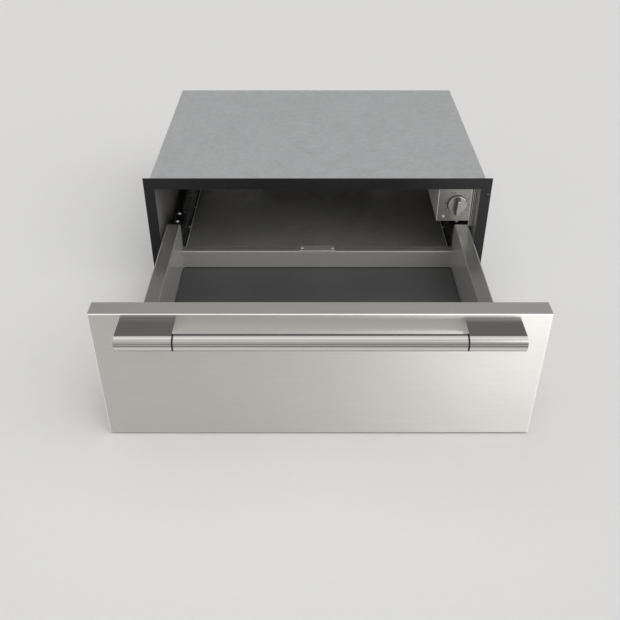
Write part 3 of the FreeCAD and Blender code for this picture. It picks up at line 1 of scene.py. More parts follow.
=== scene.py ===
"""Looks of the built-in warming drawer: materials, small details, studio and camera.
Metres, in the CAD model's own frame.  X runs to the right, +Y to the back, +Z up."""
import bmesh
import bpy
import json
import math
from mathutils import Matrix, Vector


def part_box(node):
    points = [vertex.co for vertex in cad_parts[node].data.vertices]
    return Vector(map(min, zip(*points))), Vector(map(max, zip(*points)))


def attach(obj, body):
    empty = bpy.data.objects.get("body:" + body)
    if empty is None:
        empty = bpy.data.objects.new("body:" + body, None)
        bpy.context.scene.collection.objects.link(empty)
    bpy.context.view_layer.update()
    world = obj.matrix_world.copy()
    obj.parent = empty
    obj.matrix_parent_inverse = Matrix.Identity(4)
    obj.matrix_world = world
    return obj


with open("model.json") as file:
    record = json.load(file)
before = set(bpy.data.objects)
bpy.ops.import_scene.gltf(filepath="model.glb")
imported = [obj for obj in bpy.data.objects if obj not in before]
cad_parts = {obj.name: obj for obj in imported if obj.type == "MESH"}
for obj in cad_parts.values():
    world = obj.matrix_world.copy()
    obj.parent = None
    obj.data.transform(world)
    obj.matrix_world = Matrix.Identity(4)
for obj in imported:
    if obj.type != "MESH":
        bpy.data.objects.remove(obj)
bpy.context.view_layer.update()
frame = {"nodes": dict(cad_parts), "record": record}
NODES = frame["nodes"]
MOUNT = next(m for m in frame["record"]["mounts"] if m["name"] == "flange_holes")

# ---- Named values ----------------------------------------------------------------------------
ALONG_X = (1.0, 0.0, 0.0)
ALONG_Y = (0.0, 1.0, 0.0)
ALONG_Z = (0.0, 0.0, 1.0)
AGAINST_X = (-1.0, 0.0, 0.0)

# Colours
STEEL = (0.62, 0.61, 0.585)
STEEL_DULL = (0.50, 0.495, 0.48)
ZINC = (0.56, 0.57, 0.58)
ALUMINIUM = (0.60, 0.60, 0.59)
PAINTED_FOLD_HIGHLIGHT = (0.86, 0.85, 0.82)     # painted highlight on the folds of the sheet
GROOVE_PAINTED_SHADE = (0.02, 0.02, 0.02)        # painted shade on the slopes of the ribbed strip's grooves
RAIL_FOLD_PAINTED_SHADE = (0.34, 0.335, 0.32)    # painted shade that dims the highlight on the rear rail's folds
SIDE_FOLD_PAINTED_SHADE = (0.16, 0.158, 0.152)   # painted shade that dims the highlight on the drawer sides' folds
BLACK_PAINT = (0.012, 0.012, 0.013)
TRAY_COAT = (0.064, 0.064, 0.065)
FLOOR_COAT = (0.29, 0.285, 0.274)
WOOL_PALE = (0.82, 0.76, 0.56)
WOOL_DARK = (0.50, 0.43, 0.26)
WOOL_BINDER = (0.60, 0.52, 0.33)
LENS_PALE = (0.50, 0.48, 0.44)
LENS_DARK = (0.42, 0.40, 0.36)
PAPER_PALE = (0.785, 0.782, 0.776)
PAPER_DARK = (0.775, 0.772, 0.765)

# Texture sizes, in cells a metre
HAIRLINES = 2600.0                 # finest scratches of steel, across their run
HAIRLINE_RUN = 16.0                # and along it
SCRATCHES = 500.0                  # broader scratches of brushed steel
SCRATCH_RUN = 5.0
TURNED_FINE = (7.0, HAIRLINES, HAIRLINES)
TURNED_WIDE = (2.5, 900.0, 900.0)
TURNED_STREAKS = (0.6, 330.0, 330.0)
STEEL_CLOUDS = 9.0
SPANGLE = 110.0
SPANGLE_CLOUDS = 14.0
SPANGLE_FINE = 900.0
PLATING_CLOUDS = 160.0
PLATING_FINE = 1500.0
PAINT_CLOUDS = 6.0
PAINT_PEEL = 420.0
MOULD_CLOUDS = 40.0
MOULD_GRAIN = 1300.0
WOOL_FIBRES = (700.0, 90.0, 700.0)
WOOL_LUMPS = 60.0
BRAID = 260.0
LENS_FROST = 900.0
INK_COVER = 2500.0
PAPER_SPECKS = 60.0

# Wool, glass sleeve, lamp lens and floor paper
WOOL_ROUGHNESS = 0.95
WOOL_DEPTH = 0.0015
BRAID_ROUGHNESS = 0.85
BRAID_DEPTH = 0.0003
BRAID_LEAN = 0.8                   # slant of the strands, to both sides
BRAID_WAVER = 0.4                  # unevenness of the strands
LENS_DEPTH = 0.00003
PAPER_ROUGHNESS = 0.9

# Finish of the steel, with painted reflections and shade on the handle
GRAIN_LEAN = (0.02, 0.03, 0.025)   # keeps the grain's direction from meeting a face squarely
FINE_SHARE = 0.8                   # fine scratches' share of the grain; broader ones have the rest
TURNED_SHARE = 0.55                # the same on the handle
PLAIN = 0.5                        # middle of a noise, where a face shows no grain
SHALLOW = 0.00001                  # relief of the finest textures, in metres
FLAT_TOP_PAINTED_SHADE = 0.42                  # painted dark reflection on the flat top of the handle's brackets, beside the round
FLAT_ROUGHNESS = 0.36
PAINTED_REFLECTION_BANDS = ((0.0, 0.75), (0.30, 0.95), (0.36, 1.50), (0.50, 1.45), (0.56, 0.62), (0.63, 0.42),
                (0.67, 0.78), (0.71, 0.66), (0.75, 0.90), (0.79, 0.66), (0.84, 0.90), (0.91, 0.66),
                (0.96, 1.10), (0.985, 0.85), (1.0, 1.25))   # painted reflections: bright and dark bands on the handle's round, from under to top
PAINTED_BACK_REFLECTION = 0.26                 # painted dark reflection on the upper back of the round
TURNED_DEPTH = 0.00003
FACES_END = (0.3, 0.9)             # from where to where a face counts as the end of a bracket,
FACES_BACK = (0.04, 0.16)          # as the back of the round, painted with a dark reflection,
FACES_UP = (0.55, 0.75)            # as its upper part
FACES_FLAT = (0.985, 0.998)        # and as the flat top of a bracket

# Dial, in metres
RING_STEPS = 48                    # sides of a round ring
KNOB_SHADOW_INNER = 0.0210                # dark ring round the knob's edge, a painted shadow
KNOB_SHADOW_OUTER = 0.0229
DIAL_DOTS = 9                      # printed scale round the knob
DIAL_FIRST = math.radians(35.0)
DIAL_STEP = math.radians(30.0)
DIAL_RADIUS = 0.0265
DIAL_DOT = 0.0015
DIAL_GROWTH = 0.0001
DIAL_LINE = 0.0009                 # two lines at the off position
DIAL_OFF_LEFT = 0.017
DIAL_OFF_RIGHT = 0.002
DIAL_OFF_LINES = (-0.002, 0.0016)
INK_DEPTH = 0.00006

# Small pieces, in metres
HANDLE_PROUD = 0.00002             # black rings of the handle
HANDLE_RING = 0.0046               # width of a ring
HANDLE_JOINT = 0.0026              # width of the joint under it
FOOT_SHEET = 0.002                 # bare edges of the slide brackets' feet, drawn pale as a painted highlight
SEAT_REACH = 0.002                 # how far the stop block's seat stands out over the foot
EDGE_WIDTH = 0.0020
EDGE_LAP = 0.0004
EDGE_RISE = 0.0002
TRIM_RIBS = 3                      # ribbed strip beside the control box
TRIM_GAP = 0.0004
TRIM_SHEET = 0.0008
TRIM_RISE = 0.0012
TRIM_SLOPE = 0.0008
TRIM_DROP = 0.016
SCREW_HEAD = 0.0042                # black screws of the flange
SCREW_FLAT = 0.93                  # flat of the head, as a share of its radius
SCREW_CHAMFER = 0.0003
SCREW_SHANK = 0.0023
SCREW_TOP = 0.0002                 # how far the head stands out of the flange
SCREW_REACH = 0.004
SCREW_STEPS = 24
MILLIMETRES = 1000.0               # in a metre
DOT_STEPS = 20

# Studio
FLOOR_REACH = 60.0
FLOOR_DROP = 0.0004                # keeps the floor clear of the case's underside
SKY_TINT = (1.0, 0.995, 0.985, 1.0)
SKY_TURN = 0.25                    # width of the change from one wall to the other
# Brightness of the world by how far a direction looks up, from level (0) to straight up (1)
WALL_BEHIND = ((0.0, 0.72), (0.12, 0.72), (0.30, 0.42), (0.42, 0.16), (0.70, 0.16),
               (0.80, 1.12), (1.0, 1.12))
WALL_IN_FRONT = ((0.0, 0.72), (0.10, 0.70), (0.22, 0.50), (0.45, 0.80), (0.70, 0.80), (0.88, 1.05),
                 (1.0, 1.12))
KEY_POWER = 0.75
KEY_SPREAD = math.radians(55.0)
KEY_WAY = (-0.95, 0.6, -0.95)
RIGHT_BOX = {"place": (1.15, -2.6, 0.22), "target": (0.25, -0.7, 0.1), "width": 1.6, "height": 0.4,
             "power": 27.0}
LOW_BOX = {"place": (-0.1, -3.6, 0.85), "target": (0.0, -0.2, 0.1), "width": 2.0, "height": 0.5,
           "power": 54.0}
CAMERA_PLACE = (-0.0166, -1.8022, 1.0064)
CAMERA_TILT = math.radians(54.55)
CAMERA_SENSOR = 36.0               # millimetres, as is the lens
CAMERA_LENS = 45.41
CAMERA_REACH = 200.0


# ---- Node helpers ----------------------------------------------------------------------------
class Net:
    """Short way to write a node tree."""

    def __init__(self, tree):
        tree.nodes.clear()
        self.tree = tree

    def add(self, kind, inputs=None, **settings):
        node = self.tree.nodes.new("ShaderNode" + kind)
        for key, value in settings.items():
            setattr(node, key, value)
        for key, value in (inputs or {}).items():
            if isinstance(value, bpy.types.NodeSocket):
                self.tree.links.new(value, node.inputs[key])
            else:
                node.inputs[key].default_value = value
        return node

    def place(self, scale, rotation=(0, 0, 0)):
        """Object coordinates, scaled alike along all axes or along each by itself."""
        if isinstance(scale, float):
            scale = (scale, scale, scale)
        coord = self.add("TexCoord")
        mapping = self.add("Mapping", {"Vector": coord.outputs["Object"], "Scale": scale,
                                       "Rotation": rotation})
        return mapping.outputs["Vector"]

    def noise(self, scale, detail=2.0, roughness=0.5, distortion=0.0):
        """Noise of a given size, as a factor."""
        return self.add("TexNoise", {"Vector": self.place(scale), "Scale": 1.0, "Detail": detail,
                                     "Roughness": roughness, "Distortion": distortion}).outputs["Fac"]

    def ramp(self, fac, low, high):
        """Usual range of a noise, a quarter to three quarters, mapped to a range of values."""
        return self.add("MapRange", {"Value": fac, "From Min": 0.25, "From Max": 0.75,
                                     "To Min": low, "To Max": high}).outputs["Result"]

    def around(self, fac, middle, stray):
        """Value that strays to both sides of its middle with a noise."""
        return self.ramp(fac, middle - stray, middle + stray)

    def tinted(self, fac, colour, darkest, palest):
        """Colour that runs from its darkest shade to its palest with a factor."""
        return self.blend(fac, shade(darkest, colour), shade(palest, colour))

    def blend(self, fac, first, second):
        """Two colours mixed by a factor."""
        node = self.add("Mix", data_type="RGBA")
        sockets = [s for s in node.inputs if s.enabled]
        for socket, value in zip(sockets, (fac, first, second)):
            if isinstance(value, bpy.types.NodeSocket):
                self.tree.links.new(value, socket)
            else:
                socket.default_value = value if isinstance(value, float) else (*value, 1.0)
        return [s for s in node.outputs if s.enabled][0]

    def math(self, operation, first, second):
        return self.add("Math", {0: first, 1: second}, operation=operation).outputs["Value"]

    def mix(self, fac, first, second):
        """Two numbers mixed by a factor."""
        node = self.add("MapRange", {"Value": fac, "To Min": first, "To Max": second})
        return node.outputs["Result"]

    def together(self, first, second, share):
        """Two noises added up, the first with its share and the second with the rest."""
        return self.math("ADD", self.math("MULTIPLY", first, share),
                         self.math("MULTIPLY", second, 1.0 - share))

    def levels(self, fac, stops):
        """Grey levels at given places of a factor, joined by straight lines."""
        ramp = self.add("ValToRGB", {"Fac": fac})
        points = ramp.color_ramp.elements
        for place, level in stops[1:-1]:
            points.new(place)
        for point, (place, level) in zip(points, stops):
            point.position = place
            point.color = (level, level, level, 1.0)
        return ramp.outputs["Color"]

    def facing(self, axis, low=0.80, high=0.97):
        """How squarely the surface faces along an axis, as a factor."""
        normal = self.add("NewGeometry").outputs["Normal"]
        square = self.add("VectorMath", {0: normal, 1: axis}, operation="DOT_PRODUCT").outputs["Value"]
        node = self.add("MapRange", {"Value": square, "From Min": low, "From Max": high})
        return node.outputs["Result"]

    def bend(self, low=0.002, high=0.05):
        """How far the surface turns away from all three axes, as on a folded or rounded edge."""
        normal = self.add("NewGeometry").outputs["Normal"]
        size = self.add("VectorMath", {0: normal}, operation="ABSOLUTE").outputs["Vector"]
        parts = self.add("SeparateXYZ", {"Vector": size})
        widest = self.math("MAXIMUM", parts.outputs["X"], parts.outputs["Y"])
        widest = self.math("MAXIMUM", widest, parts.outputs["Z"])
        return self.add("MapRange", {"Value": self.math("SUBTRACT", 1.0, widest),
                                     "From Min": low, "From Max": high}).outputs["Result"]

    def across(self, axis):
        """Direction in the surface, square to a grain that runs along an axis."""
        tilted = [value + lean for value, lean in zip(axis, GRAIN_LEAN)]
        grain = self.add("CombineXYZ", dict(zip("XYZ", tilted))).outputs["Vector"]
        normal = self.add("NewGeometry").outputs["Normal"]
        node = self.add("VectorMath", {0: grain, 1: normal}, operation="CROSS_PRODUCT")
        return node.outputs["Vector"]

    def bump(self, height, distance):
        """Fine relief of a given depth in metres."""
        node = self.add("Bump", {"Height": height, "Distance": distance, "Strength": 1.0})
        return node.outputs["Normal"]

    def surface(self, colour, roughness, normal=None, metallic=0.0, tangent=None, **constants):
        """Principled surface: constants go straight on its sockets."""
        inputs = {"Base Color": colour if isinstance(colour, bpy.types.NodeSocket) else (*colour, 1.0),
                  "Roughness": roughness, "Metallic": metallic}
        if normal is not None:
            inputs["Normal"] = normal
        if tangent is not None:
            inputs["Tangent"] = tangent
        shader = self.add("BsdfPrincipled", inputs)
        for name, value in constants.items():
            socket = name.replace("_", " ").title().replace("Ior", "IOR")
            shader.inputs[socket].default_value = value
        out = self.add("OutputMaterial")
        self.tree.links.new(shader.outputs["BSDF"], out.inputs["Surface"])
        return shader


def material(name):
    """New material and its node tree."""
    made = bpy.data.materials.new(name)
    made.use_nodes = True
    return made, Net(made.node_tree)


def shade(value, colour):
    return tuple(value * c for c in colour)


# ---- Materials -------------------------------------------------------------------------------
def brushed(name, colour, roughness, axis, anisotropy=0.6, depth=0.00002, contrast=0.10, metal=1.0,
            top=None, painted_top_shade=1.0, edge=None, painted_fold=PAINTED_FOLD_HIGHLIGHT):
    """Brushed steel: hair-fine scratches that run along an axis, and faint clouds from handling.
    The top, if given, is how metallic the faces that look up are, and the lid is how bright they
    are painted, a painted shade. The edge, if given, is how far the folded edges take the colour given
    for the folds, which is painted light: a highlight by default, a shade where that colour is darker."""
    made, net = material(name)
    fine_size = [HAIRLINE_RUN if part else HAIRLINES for part in axis]
    wide_size = [SCRATCH_RUN if part else SCRATCHES for part in axis]
    fine = net.noise(fine_size, detail=3.0, roughness=0.65)
    wide = net.noise(wide_size, detail=2.0)
    clouds = net.noise(STEEL_CLOUDS, detail=3.0)
    grain = net.together(fine, wide, FINE_SHARE)
    tint = net.tinted(net.ramp(grain, 0.0, 1.0), colour, 1.0 - contrast, 1.0 + contrast / 2)
    rough = net.math("ADD", net.around(grain, roughness, stray=0.04), net.around(clouds, 0.0, stray=0.02))
    if top is not None:
        metal = net.mix(net.facing(ALONG_Z), metal, top)
        # painted shade: faces that look up are painted darker
        tint = net.blend(net.facing(ALONG_Z), tint, shade(painted_top_shade, colour))
    if edge is not None:
        # painted light on folded edges: a highlight by default, a shade where the folds' colour is darker
        folded = net.math("MULTIPLY", net.bend(), edge)
        tint = net.blend(folded, tint, painted_fold)
        metal = net.math("MULTIPLY", metal, net.math("SUBTRACT", 1.0, folded))
    net.surface(tint, rough, net.bump(grain, depth), metal, net.across(axis), anisotropic=anisotropy)
    return made


def polished_round(name, colour, roughness, streaks=0.35):
    """Turned and belt-polished steel: lengthwise streaks on the round, painted reflection bands and a
    dark reflection painted on its upper back; rougher flat tops that carry a painted dark reflection.
    """
    made, net = material(name)
    fine = net.noise(TURNED_FINE, detail=3.0, roughness=0.65)
    broad = net.noise(TURNED_STREAKS, detail=1.0)
    wide = net.noise(TURNED_WIDE, detail=2.0)
    grain = net.together(fine, wide, TURNED_SHARE)
    end = net.math("MAXIMUM", net.facing(ALONG_X, *FACES_END), net.facing(AGAINST_X, *FACES_END))
    grain = net.mix(end, grain, PLAIN)
    broad = net.mix(end, broad, PLAIN)
    tint = net.tinted(net.ramp(broad, 0.0, 1.0), colour, 1.0 - streaks, 1.0 + streaks)
    tint = net.blend(net.ramp(grain, 0.0, 0.5), tint, shade(1.0 - streaks, colour))
    # painted reflections: the round's colour is scaled in bands by how far it faces up
    painted_bands = net.levels(net.facing(ALONG_Z, -1.0, 1.0), PAINTED_REFLECTION_BANDS)
    tint = net.add("VectorMath", {0: tint, 1: painted_bands}, operation="MULTIPLY").outputs["Vector"]
    # painted reflection: the upper back of the round is painted dark
    painted_back_share = net.math("MULTIPLY", net.facing(ALONG_Y, *FACES_BACK), net.facing(ALONG_Z, *FACES_UP))
    tint = net.blend(painted_back_share, tint, shade(PAINTED_BACK_REFLECTION, colour))
    flat = net.facing(ALONG_Z, *FACES_FLAT)
    # painted dark reflection on the flat tops; their rougher finish is their own
    tint = net.blend(flat, tint, shade(FLAT_TOP_PAINTED_SHADE, colour))
    rough = net.mix(flat, net.ramp(grain, roughness - 0.05, roughness + 0.07), FLAT_ROUGHNESS)
    net.surface(tint, rough, net.bump(grain, TURNED_DEPTH), 1.0, net.across(ALONG_X), anisotropic=0.3)
    return made


def galvanised(name, colour, roughness=0.50):
    """Zinc-coated sheet with its spangle."""
    made, net = material(name)
    cells = net.add("TexVoronoi", {"Vector": net.place(SPANGLE), "Scale": 1.0})
    flake = net.add("SeparateColor", {"Color": cells.outputs["Color"]}).outputs["Red"]
    clouds = net.noise(SPANGLE_CLOUDS, detail=3.0)
    tint = net.tinted(flake, colour, darkest=0.93, palest=1.05)
    tint = net.blend(net.ramp(clouds, 0.0, 0.35), tint, shade(0.92, colour))
    rough = net.math("ADD", net.around(flake, roughness, stray=0.02), net.around(clouds, 0.0, stray=0.03))
    net.surface(tint, rough, net.bump(net.noise(SPANGLE_FINE), SHALLOW), 0.65)
    return made


def plated(name, colour, roughness=0.3, metal=1.0):
    """Turned or stamped steel with a thin plating."""
    made, net = material(name)
    clouds = net.noise(PLATING_CLOUDS, detail=3.0)
    tint = net.tinted(net.ramp(clouds, 0.0, 1.0), colour, darkest=0.85, palest=1.05)
    rough = net.ramp(clouds, roughness - 0.06, roughness + 0.08)
    net.surface(tint, rough, net.bump(net.noise(PLATING_FINE), SHALLOW), metal)
    return made


def painted(name, colour, roughness=0.35, peel=0.00002, shine=0.5):
    """Baked paint or enamel: orange peel and faint clouds."""
    made, net = material(name)
    clouds = net.noise(PAINT_CLOUDS, detail=4.0)
    specks = net.noise(PAINT_PEEL, detail=2.0)
    tint = net.tinted(net.ramp(clouds, 0.0, 1.0), colour, darkest=0.88, palest=1.12)
    rough = net.math("ADD", net.around(clouds, roughness, stray=0.05), net.around(specks, 0.0, stray=0.02))
    net.surface(tint, rough, net.bump(specks, peel), specular_ior_level=shine)
    return made


def moulded(name, colour, roughness=0.5, grain=0.00004, shine=0.5):
    """Moulded plastic or rubber with a fine spark-eroded grain."""
    made, net = material(name)
    specks = net.noise(MOULD_GRAIN, detail=2.0)
    clouds = net.noise(MOULD_CLOUDS, detail=3.0)
    tint = net.tinted(net.ramp(clouds, 0.0, 1.0), colour, darkest=0.85, palest=1.15)
    rough = net.around(clouds, roughness, stray=0.06)
    net.surface(tint, rough, net.bump(specks, grain), specular_ior_level=shine)
    return made


def mineral_wool(name):
    """Yellowish wool slab: tangled fibres and darker binder."""
    made, net = material(name)
    fibres = net.noise(WOOL_FIBRES, detail=6.0, roughness=0.7, distortion=1.5)
    lumps = net.noise(WOOL_LUMPS, detail=4.0)
    tint = net.blend(net.ramp(fibres, 0.0, 1.0), WOOL_DARK, WOOL_PALE)
    tint = net.blend(net.ramp(lumps, 0.0, 0.4), tint, WOOL_BINDER)
    height = net.math("ADD", fibres, lumps)
    net.surface(tint, WOOL_ROUGHNESS, net.bump(height, WOOL_DEPTH), sheen_weight=0.3)
    return made


def braided(name, colour):
    """Woven glass sleeve."""
    made, net = material(name)
    strands = []
    for lean in (BRAID_LEAN, -BRAID_LEAN):
        way = net.place(BRAID, (0.0, lean, lean))
        wave = net.add("TexWave", {"Vector": way, "Scale": 1.0, "Distortion": BRAID_WAVER},
                       wave_type="BANDS")
        strands.append(wave.outputs["Fac"])
    weave = net.math("MAXIMUM", *strands)
    tint = net.blend(weave, shade(0.7, colour), colour)
    net.surface(tint, BRAID_ROUGHNESS, net.bump(weave, BRAID_DEPTH), sheen_weight=0.2)
    return made


def lens(name):
    """Frosted, slightly warm pilot-lamp lens."""
    made, net = material(name)
    clouds = net.noise(LENS_FROST, detail=2.0)
    tint = net.blend(net.ramp(clouds, 0.0, 1.0), LENS_DARK, LENS_PALE)
    net.surface(tint, net.ramp(clouds, 0.08, 0.16), net.bump(clouds, LENS_DEPTH),
                transmission_weight=0.35, ior=1.46, coat_weight=0.6)
    return made


def ink(name, colour):
    """Screen-printed ink with slightly uneven cover."""
    made, net = material(name)
    cover = net.noise(INK_COVER, detail=2.0)
    tint = net.blend(net.ramp(cover, 0.0, 1.0), colour, shade(1.6, colour))
    net.surface(tint, net.ramp(cover, 0.4, 0.55), net.bump(cover, SHALLOW))
    return made


# front: painted shade on the faces that look up, painted highlight on the folds
FRONT_STEEL = brushed("front_steel", STEEL, 0.42, ALONG_X, 0.7, top=0.97, painted_top_shade=0.74, edge=0.6)
BAR_STEEL = polished_round("bar_steel", STEEL, 0.14)
# drawer sides: painted shade on their tops and on their folds
SIDE_STEEL = brushed("side_steel", shade(0.95, STEEL), 0.20, ALONG_Y, 0.2, SHALLOW, metal=0.36, top=0.88,
                     painted_top_shade=0.92, edge=0.85, painted_fold=SIDE_FOLD_PAINTED_SHADE)
# painted shade on the folds of the rear rail
RAIL_STEEL = brushed("rail_steel", shade(0.92, STEEL), 0.34, ALONG_X, 0.2, metal=0.40, top=0.84, edge=0.6,
                     painted_fold=RAIL_FOLD_PAINTED_SHADE)
LINER_STEEL = brushed("liner_steel", shade(0.88, STEEL), 0.40, ALONG_Y, 0.4, metal=0.5)
# painted light: the box's steel is painted paler, as its side stands in shade; painted highlight on its
# folds
BOX_STEEL_PAINTED_PALE = brushed("box_steel_painted_pale", shade(1.25, STEEL), 0.40, ALONG_Z, 0.3, metal=0.15, edge=0.6)
# painted shade: the slopes of the ribs take a near-black colour
TRIM_STEEL = brushed("trim_steel", shade(0.70, STEEL), 0.40, ALONG_Z, 0.3, metal=0.5, edge=1.0, painted_fold=GROOVE_PAINTED_SHADE)
# painted highlight on the fascia's folded edges
FASCIA_STEEL = brushed("fascia_steel", shade(0.42, STEEL), 0.34, ALONG_X, 0.3, metal=0.85, edge=0.8)
# painted highlight on the plate's folded edges
PLATE_ALUMINIUM = brushed("plate_aluminium", ALUMINIUM, 0.34, ALONG_X, 0.3, metal=0.72, edge=1.0)
KNOB_METAL = brushed("knob_metal", shade(0.70, STEEL), 0.34, ALONG_Z, 0.3, 0.00003, metal=0.9)
CASE_ZINC = galvanised("case_zinc", ZINC)
CARRIER_ZINC = galvanised("carrier_zinc", STEEL_DULL, 0.36)
BRACKET_BLACK = plated("bracket_black", (0.10, 0.10, 0.10), 0.34, metal=0.8)
SLIDE_ZINC = plated("slide_zinc", (0.40, 0.40, 0.40), 0.28)
SCREW_STEEL = plated("screw_steel", (0.80, 0.795, 0.78), 0.26, metal=0.25)
# bare steel painted pale: a painted highlight on the feet's edges
BARE_EDGE_HIGHLIGHT = plated("bare_edge_highlight", (0.95, 0.945, 0.93), 0.30, metal=0.1)
BALL_STEEL = plated("ball_steel", (0.68, 0.68, 0.68), 0.08)
BLACK_ENAMEL = painted("black_enamel", BLACK_PAINT, 0.42, shine=0.2)
FLOOR_ENAMEL = painted("floor_enamel", FLOOR_COAT, 0.26, SHALLOW)
PAN_COAT = painted("pan_coat", TRAY_COAT, 0.45, 0.00003)
BLACK_PLASTIC = moulded("black_plastic", (0.004, 0.004, 0.0045), 0.45, shine=0.08)
GASKET_RUBBER = moulded("gasket_rubber", (0.022, 0.022, 0.022), 0.6, 0.00008)
PALE_PLASTIC = moulded("pale_plastic", (0.62, 0.60, 0.54), 0.45)
CERAMIC = moulded("terminal_ceramic", (0.78, 0.76, 0.70), 0.28, 0.00002)
ELEMENT_SHEATH = plated("element_sheath", (0.20, 0.19, 0.18), 0.42)
BULB_COPPER = plated("bulb_copper", (0.72, 0.44, 0.27), 0.24)
WOOL = mineral_wool("mineral_wool")
SLEEVE = braided("glass_sleeve", (0.74, 0.73, 0.69))
LENS = lens("lamp_lens_glass")
DIAL_INK_AND_SHADOW = ink("dial_ink_and_painted_shadow", (0.05, 0.05, 0.05))
BLACK_PLATE = plated("black_plate", (0.05, 0.05, 0.05), 0.35)

FINISHES = {
    FRONT_STEEL: ["front_skin", "inner_panel"],
    BAR_STEEL: ["handle_bar", "handle_bracket_left", "handle_bracket_right"],
    BLACK_PLASTIC: ["handle_plugs", "stop_blocks"],
    SIDE_STEEL: ["drawer_side_left", "drawer_side_right"],
    RAIL_STEEL: ["rear_rail"],
    PAN_COAT: ["base_tray"],
    PLATE_ALUMINIUM: ["name_plate", "plate_rivets"],
    GASKET_RUBBER: ["front_gasket"],
    WOOL: ["front_insulation", "insulation_blanket"],
    CARRIER_ZINC: ["corner_angles", "handle_backing", "element_support", "bulb_clips"],
    BRACKET_BLACK: ["slide_bracket_left", "slide_bracket_right"],
    SLIDE_ZINC: ["slide_inner_left", "slide_inner_right", "slide_middle_left", "slide_middle_right",
                 "slide_fixed_left", "slide_fixed_right"],
    BALL_STEEL: ["slide_race_left", "slide_race_right"],
    SCREW_STEEL: ["handle_screws", "drawer_screws", "case_screws", "slide_bolts", "thermostat_shaft"],
    CASE_ZINC: ["case_base", "case_top", "case_back", "case_side_left", "case_side_right",
                "junction_box", "junction_cover"],
    BLACK_ENAMEL: ["front_flange", "heater_cover"],
    FLOOR_ENAMEL: ["liner_floor"],
    LINER_STEEL: ["liner_left", "liner_right", "liner_top", "liner_back"],
    BOX_STEEL_PAINTED_PALE: ["control_box"],
    FASCIA_STEEL: ["control_fascia"],
    KNOB_METAL: ["knob"],
    ELEMENT_SHEATH: ["heating_element"],
    BULB_COPPER: ["sensing_bulb"],
    PALE_PLASTIC: ["thermostat_body", "lamp_body"],
    LENS: ["lamp_lens"],
    CERAMIC: ["terminal_block"],
    SLEEVE: ["wiring_harness"],
}


def dress_nodes():
    """Give every CAD node its finish."""
    for finish, names in FINISHES.items():
        for name in names:
            mesh = NODES[name].data
            mesh.materials.clear()
            mesh.materials.append(finish)
            for face in mesh.polygons:
                face.material_index = 0


# ---- Small details ---------------------------------------------------------------------------
def new_piece(name, mesh, finish, body):
    """Object of a finished mesh that rides on a body."""
    mesh.materials.append(finish)
    made = bpy.data.objects.new(name, mesh)
    bpy.context.scene.collection.objects.link(made)
    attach(made, body)
    return made


def prism(shape, outline, low, high, place):
    """Closed prism added to a bmesh: an outline in two directions, its depth in the third."""
    rings = [[shape.verts.new(place(u, v, depth)) for u, v in outline] for depth in (low, high)]
    count = len(outline)
    for i in range(count):
        follow = (i + 1) % count
        shape.faces.new((rings[0][i], rings[0][follow], rings[1][follow], rings[1][i]))
    shape.faces.new(rings[0][::-1])
    shape.faces.new(rings[1])


def finished_mesh(name, shape):
    bmesh.ops.recalc_face_normals(shape, faces=shape.faces)
    mesh = bpy.data.meshes.new(name)
    shape.to_mesh(mesh)
    shape.free()
    return mesh


def circle(u, v, radius, steps=DOT_STEPS):
    turn = 2.0 * math.pi / steps
    return [(u + radius * math.cos(turn * i), v + radius * math.sin(turn * i)) for i in range(steps)]


def turned(shape, profile, place, steps=SCREW_STEPS):
    """Profile of radius and height turned about an axis that looks to the front, added to a bmesh."""
    rings = []
    for radius, height in profile:
        ring = [shape.verts.new((place[0] + radius * math.cos(2 * math.pi * i / steps), place[1] - height,
                                 place[2] + radius * math.sin(2 * math.pi * i / steps)))
                for i in range(steps if radius else 1)]
        rings.append(ring)
    for first, second in zip(rings, rings[1:]):
        for i in range(steps):
            follow = (i + 1) % steps
            corners = [first[i % len(first)], first[follow % len(first)],
                       second[follow % len(second)], second[i % len(second)]]
            shape.faces.new(list(dict.fromkeys(corners)))


def dial_print_and_shadow_ring():
    """Printed dots that grow with the heat, two lines at the off position, and a dark ring painted as
    the knob's shadow.
    """
    low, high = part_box("knob")
    centre = ((low[0] + high[0]) / 2, (low[2] + high[2]) / 2)
    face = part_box("control_fascia")[0][1]
    shape = bmesh.new()

    def place(u, v, depth):
        return (u, face - depth, v)

    # painted shadow: a dark ring round the knob, in the same ink as the print
    ring = [circle(*centre, radius, RING_STEPS) for radius in (KNOB_SHADOW_INNER, KNOB_SHADOW_OUTER)]
    for i in range(RING_STEPS):
        j = (i + 1) % RING_STEPS
        prism(shape, [ring[0][i], ring[1][i], ring[1][j], ring[0][j]], 0.0, INK_DEPTH, place)
    for i in range(DIAL_DOTS):
        angle = DIAL_FIRST + DIAL_STEP * i
        u = centre[0] + DIAL_RADIUS * math.sin(angle)
        v = centre[1] + DIAL_RADIUS * math.cos(angle)
        prism(shape, circle(u, v, DIAL_DOT + DIAL_GROWTH * i), 0.0, INK_DEPTH, place)
    for lift in DIAL_OFF_LINES:
        left = centre[0] - DIAL_OFF_LEFT
        right = centre[0] - DIAL_OFF_RIGHT
        under = centre[1] + DIAL_RADIUS + lift
        over = under + DIAL_LINE
        prism(shape, [(left, under), (right, under), (right, over), (left, over)], 0.0, INK_DEPTH, place)
    new_piece("dial_print_and_shadow_ring", finished_mesh("dial_print_and_shadow_ring", shape), DIAL_INK_AND_SHADOW, "case")


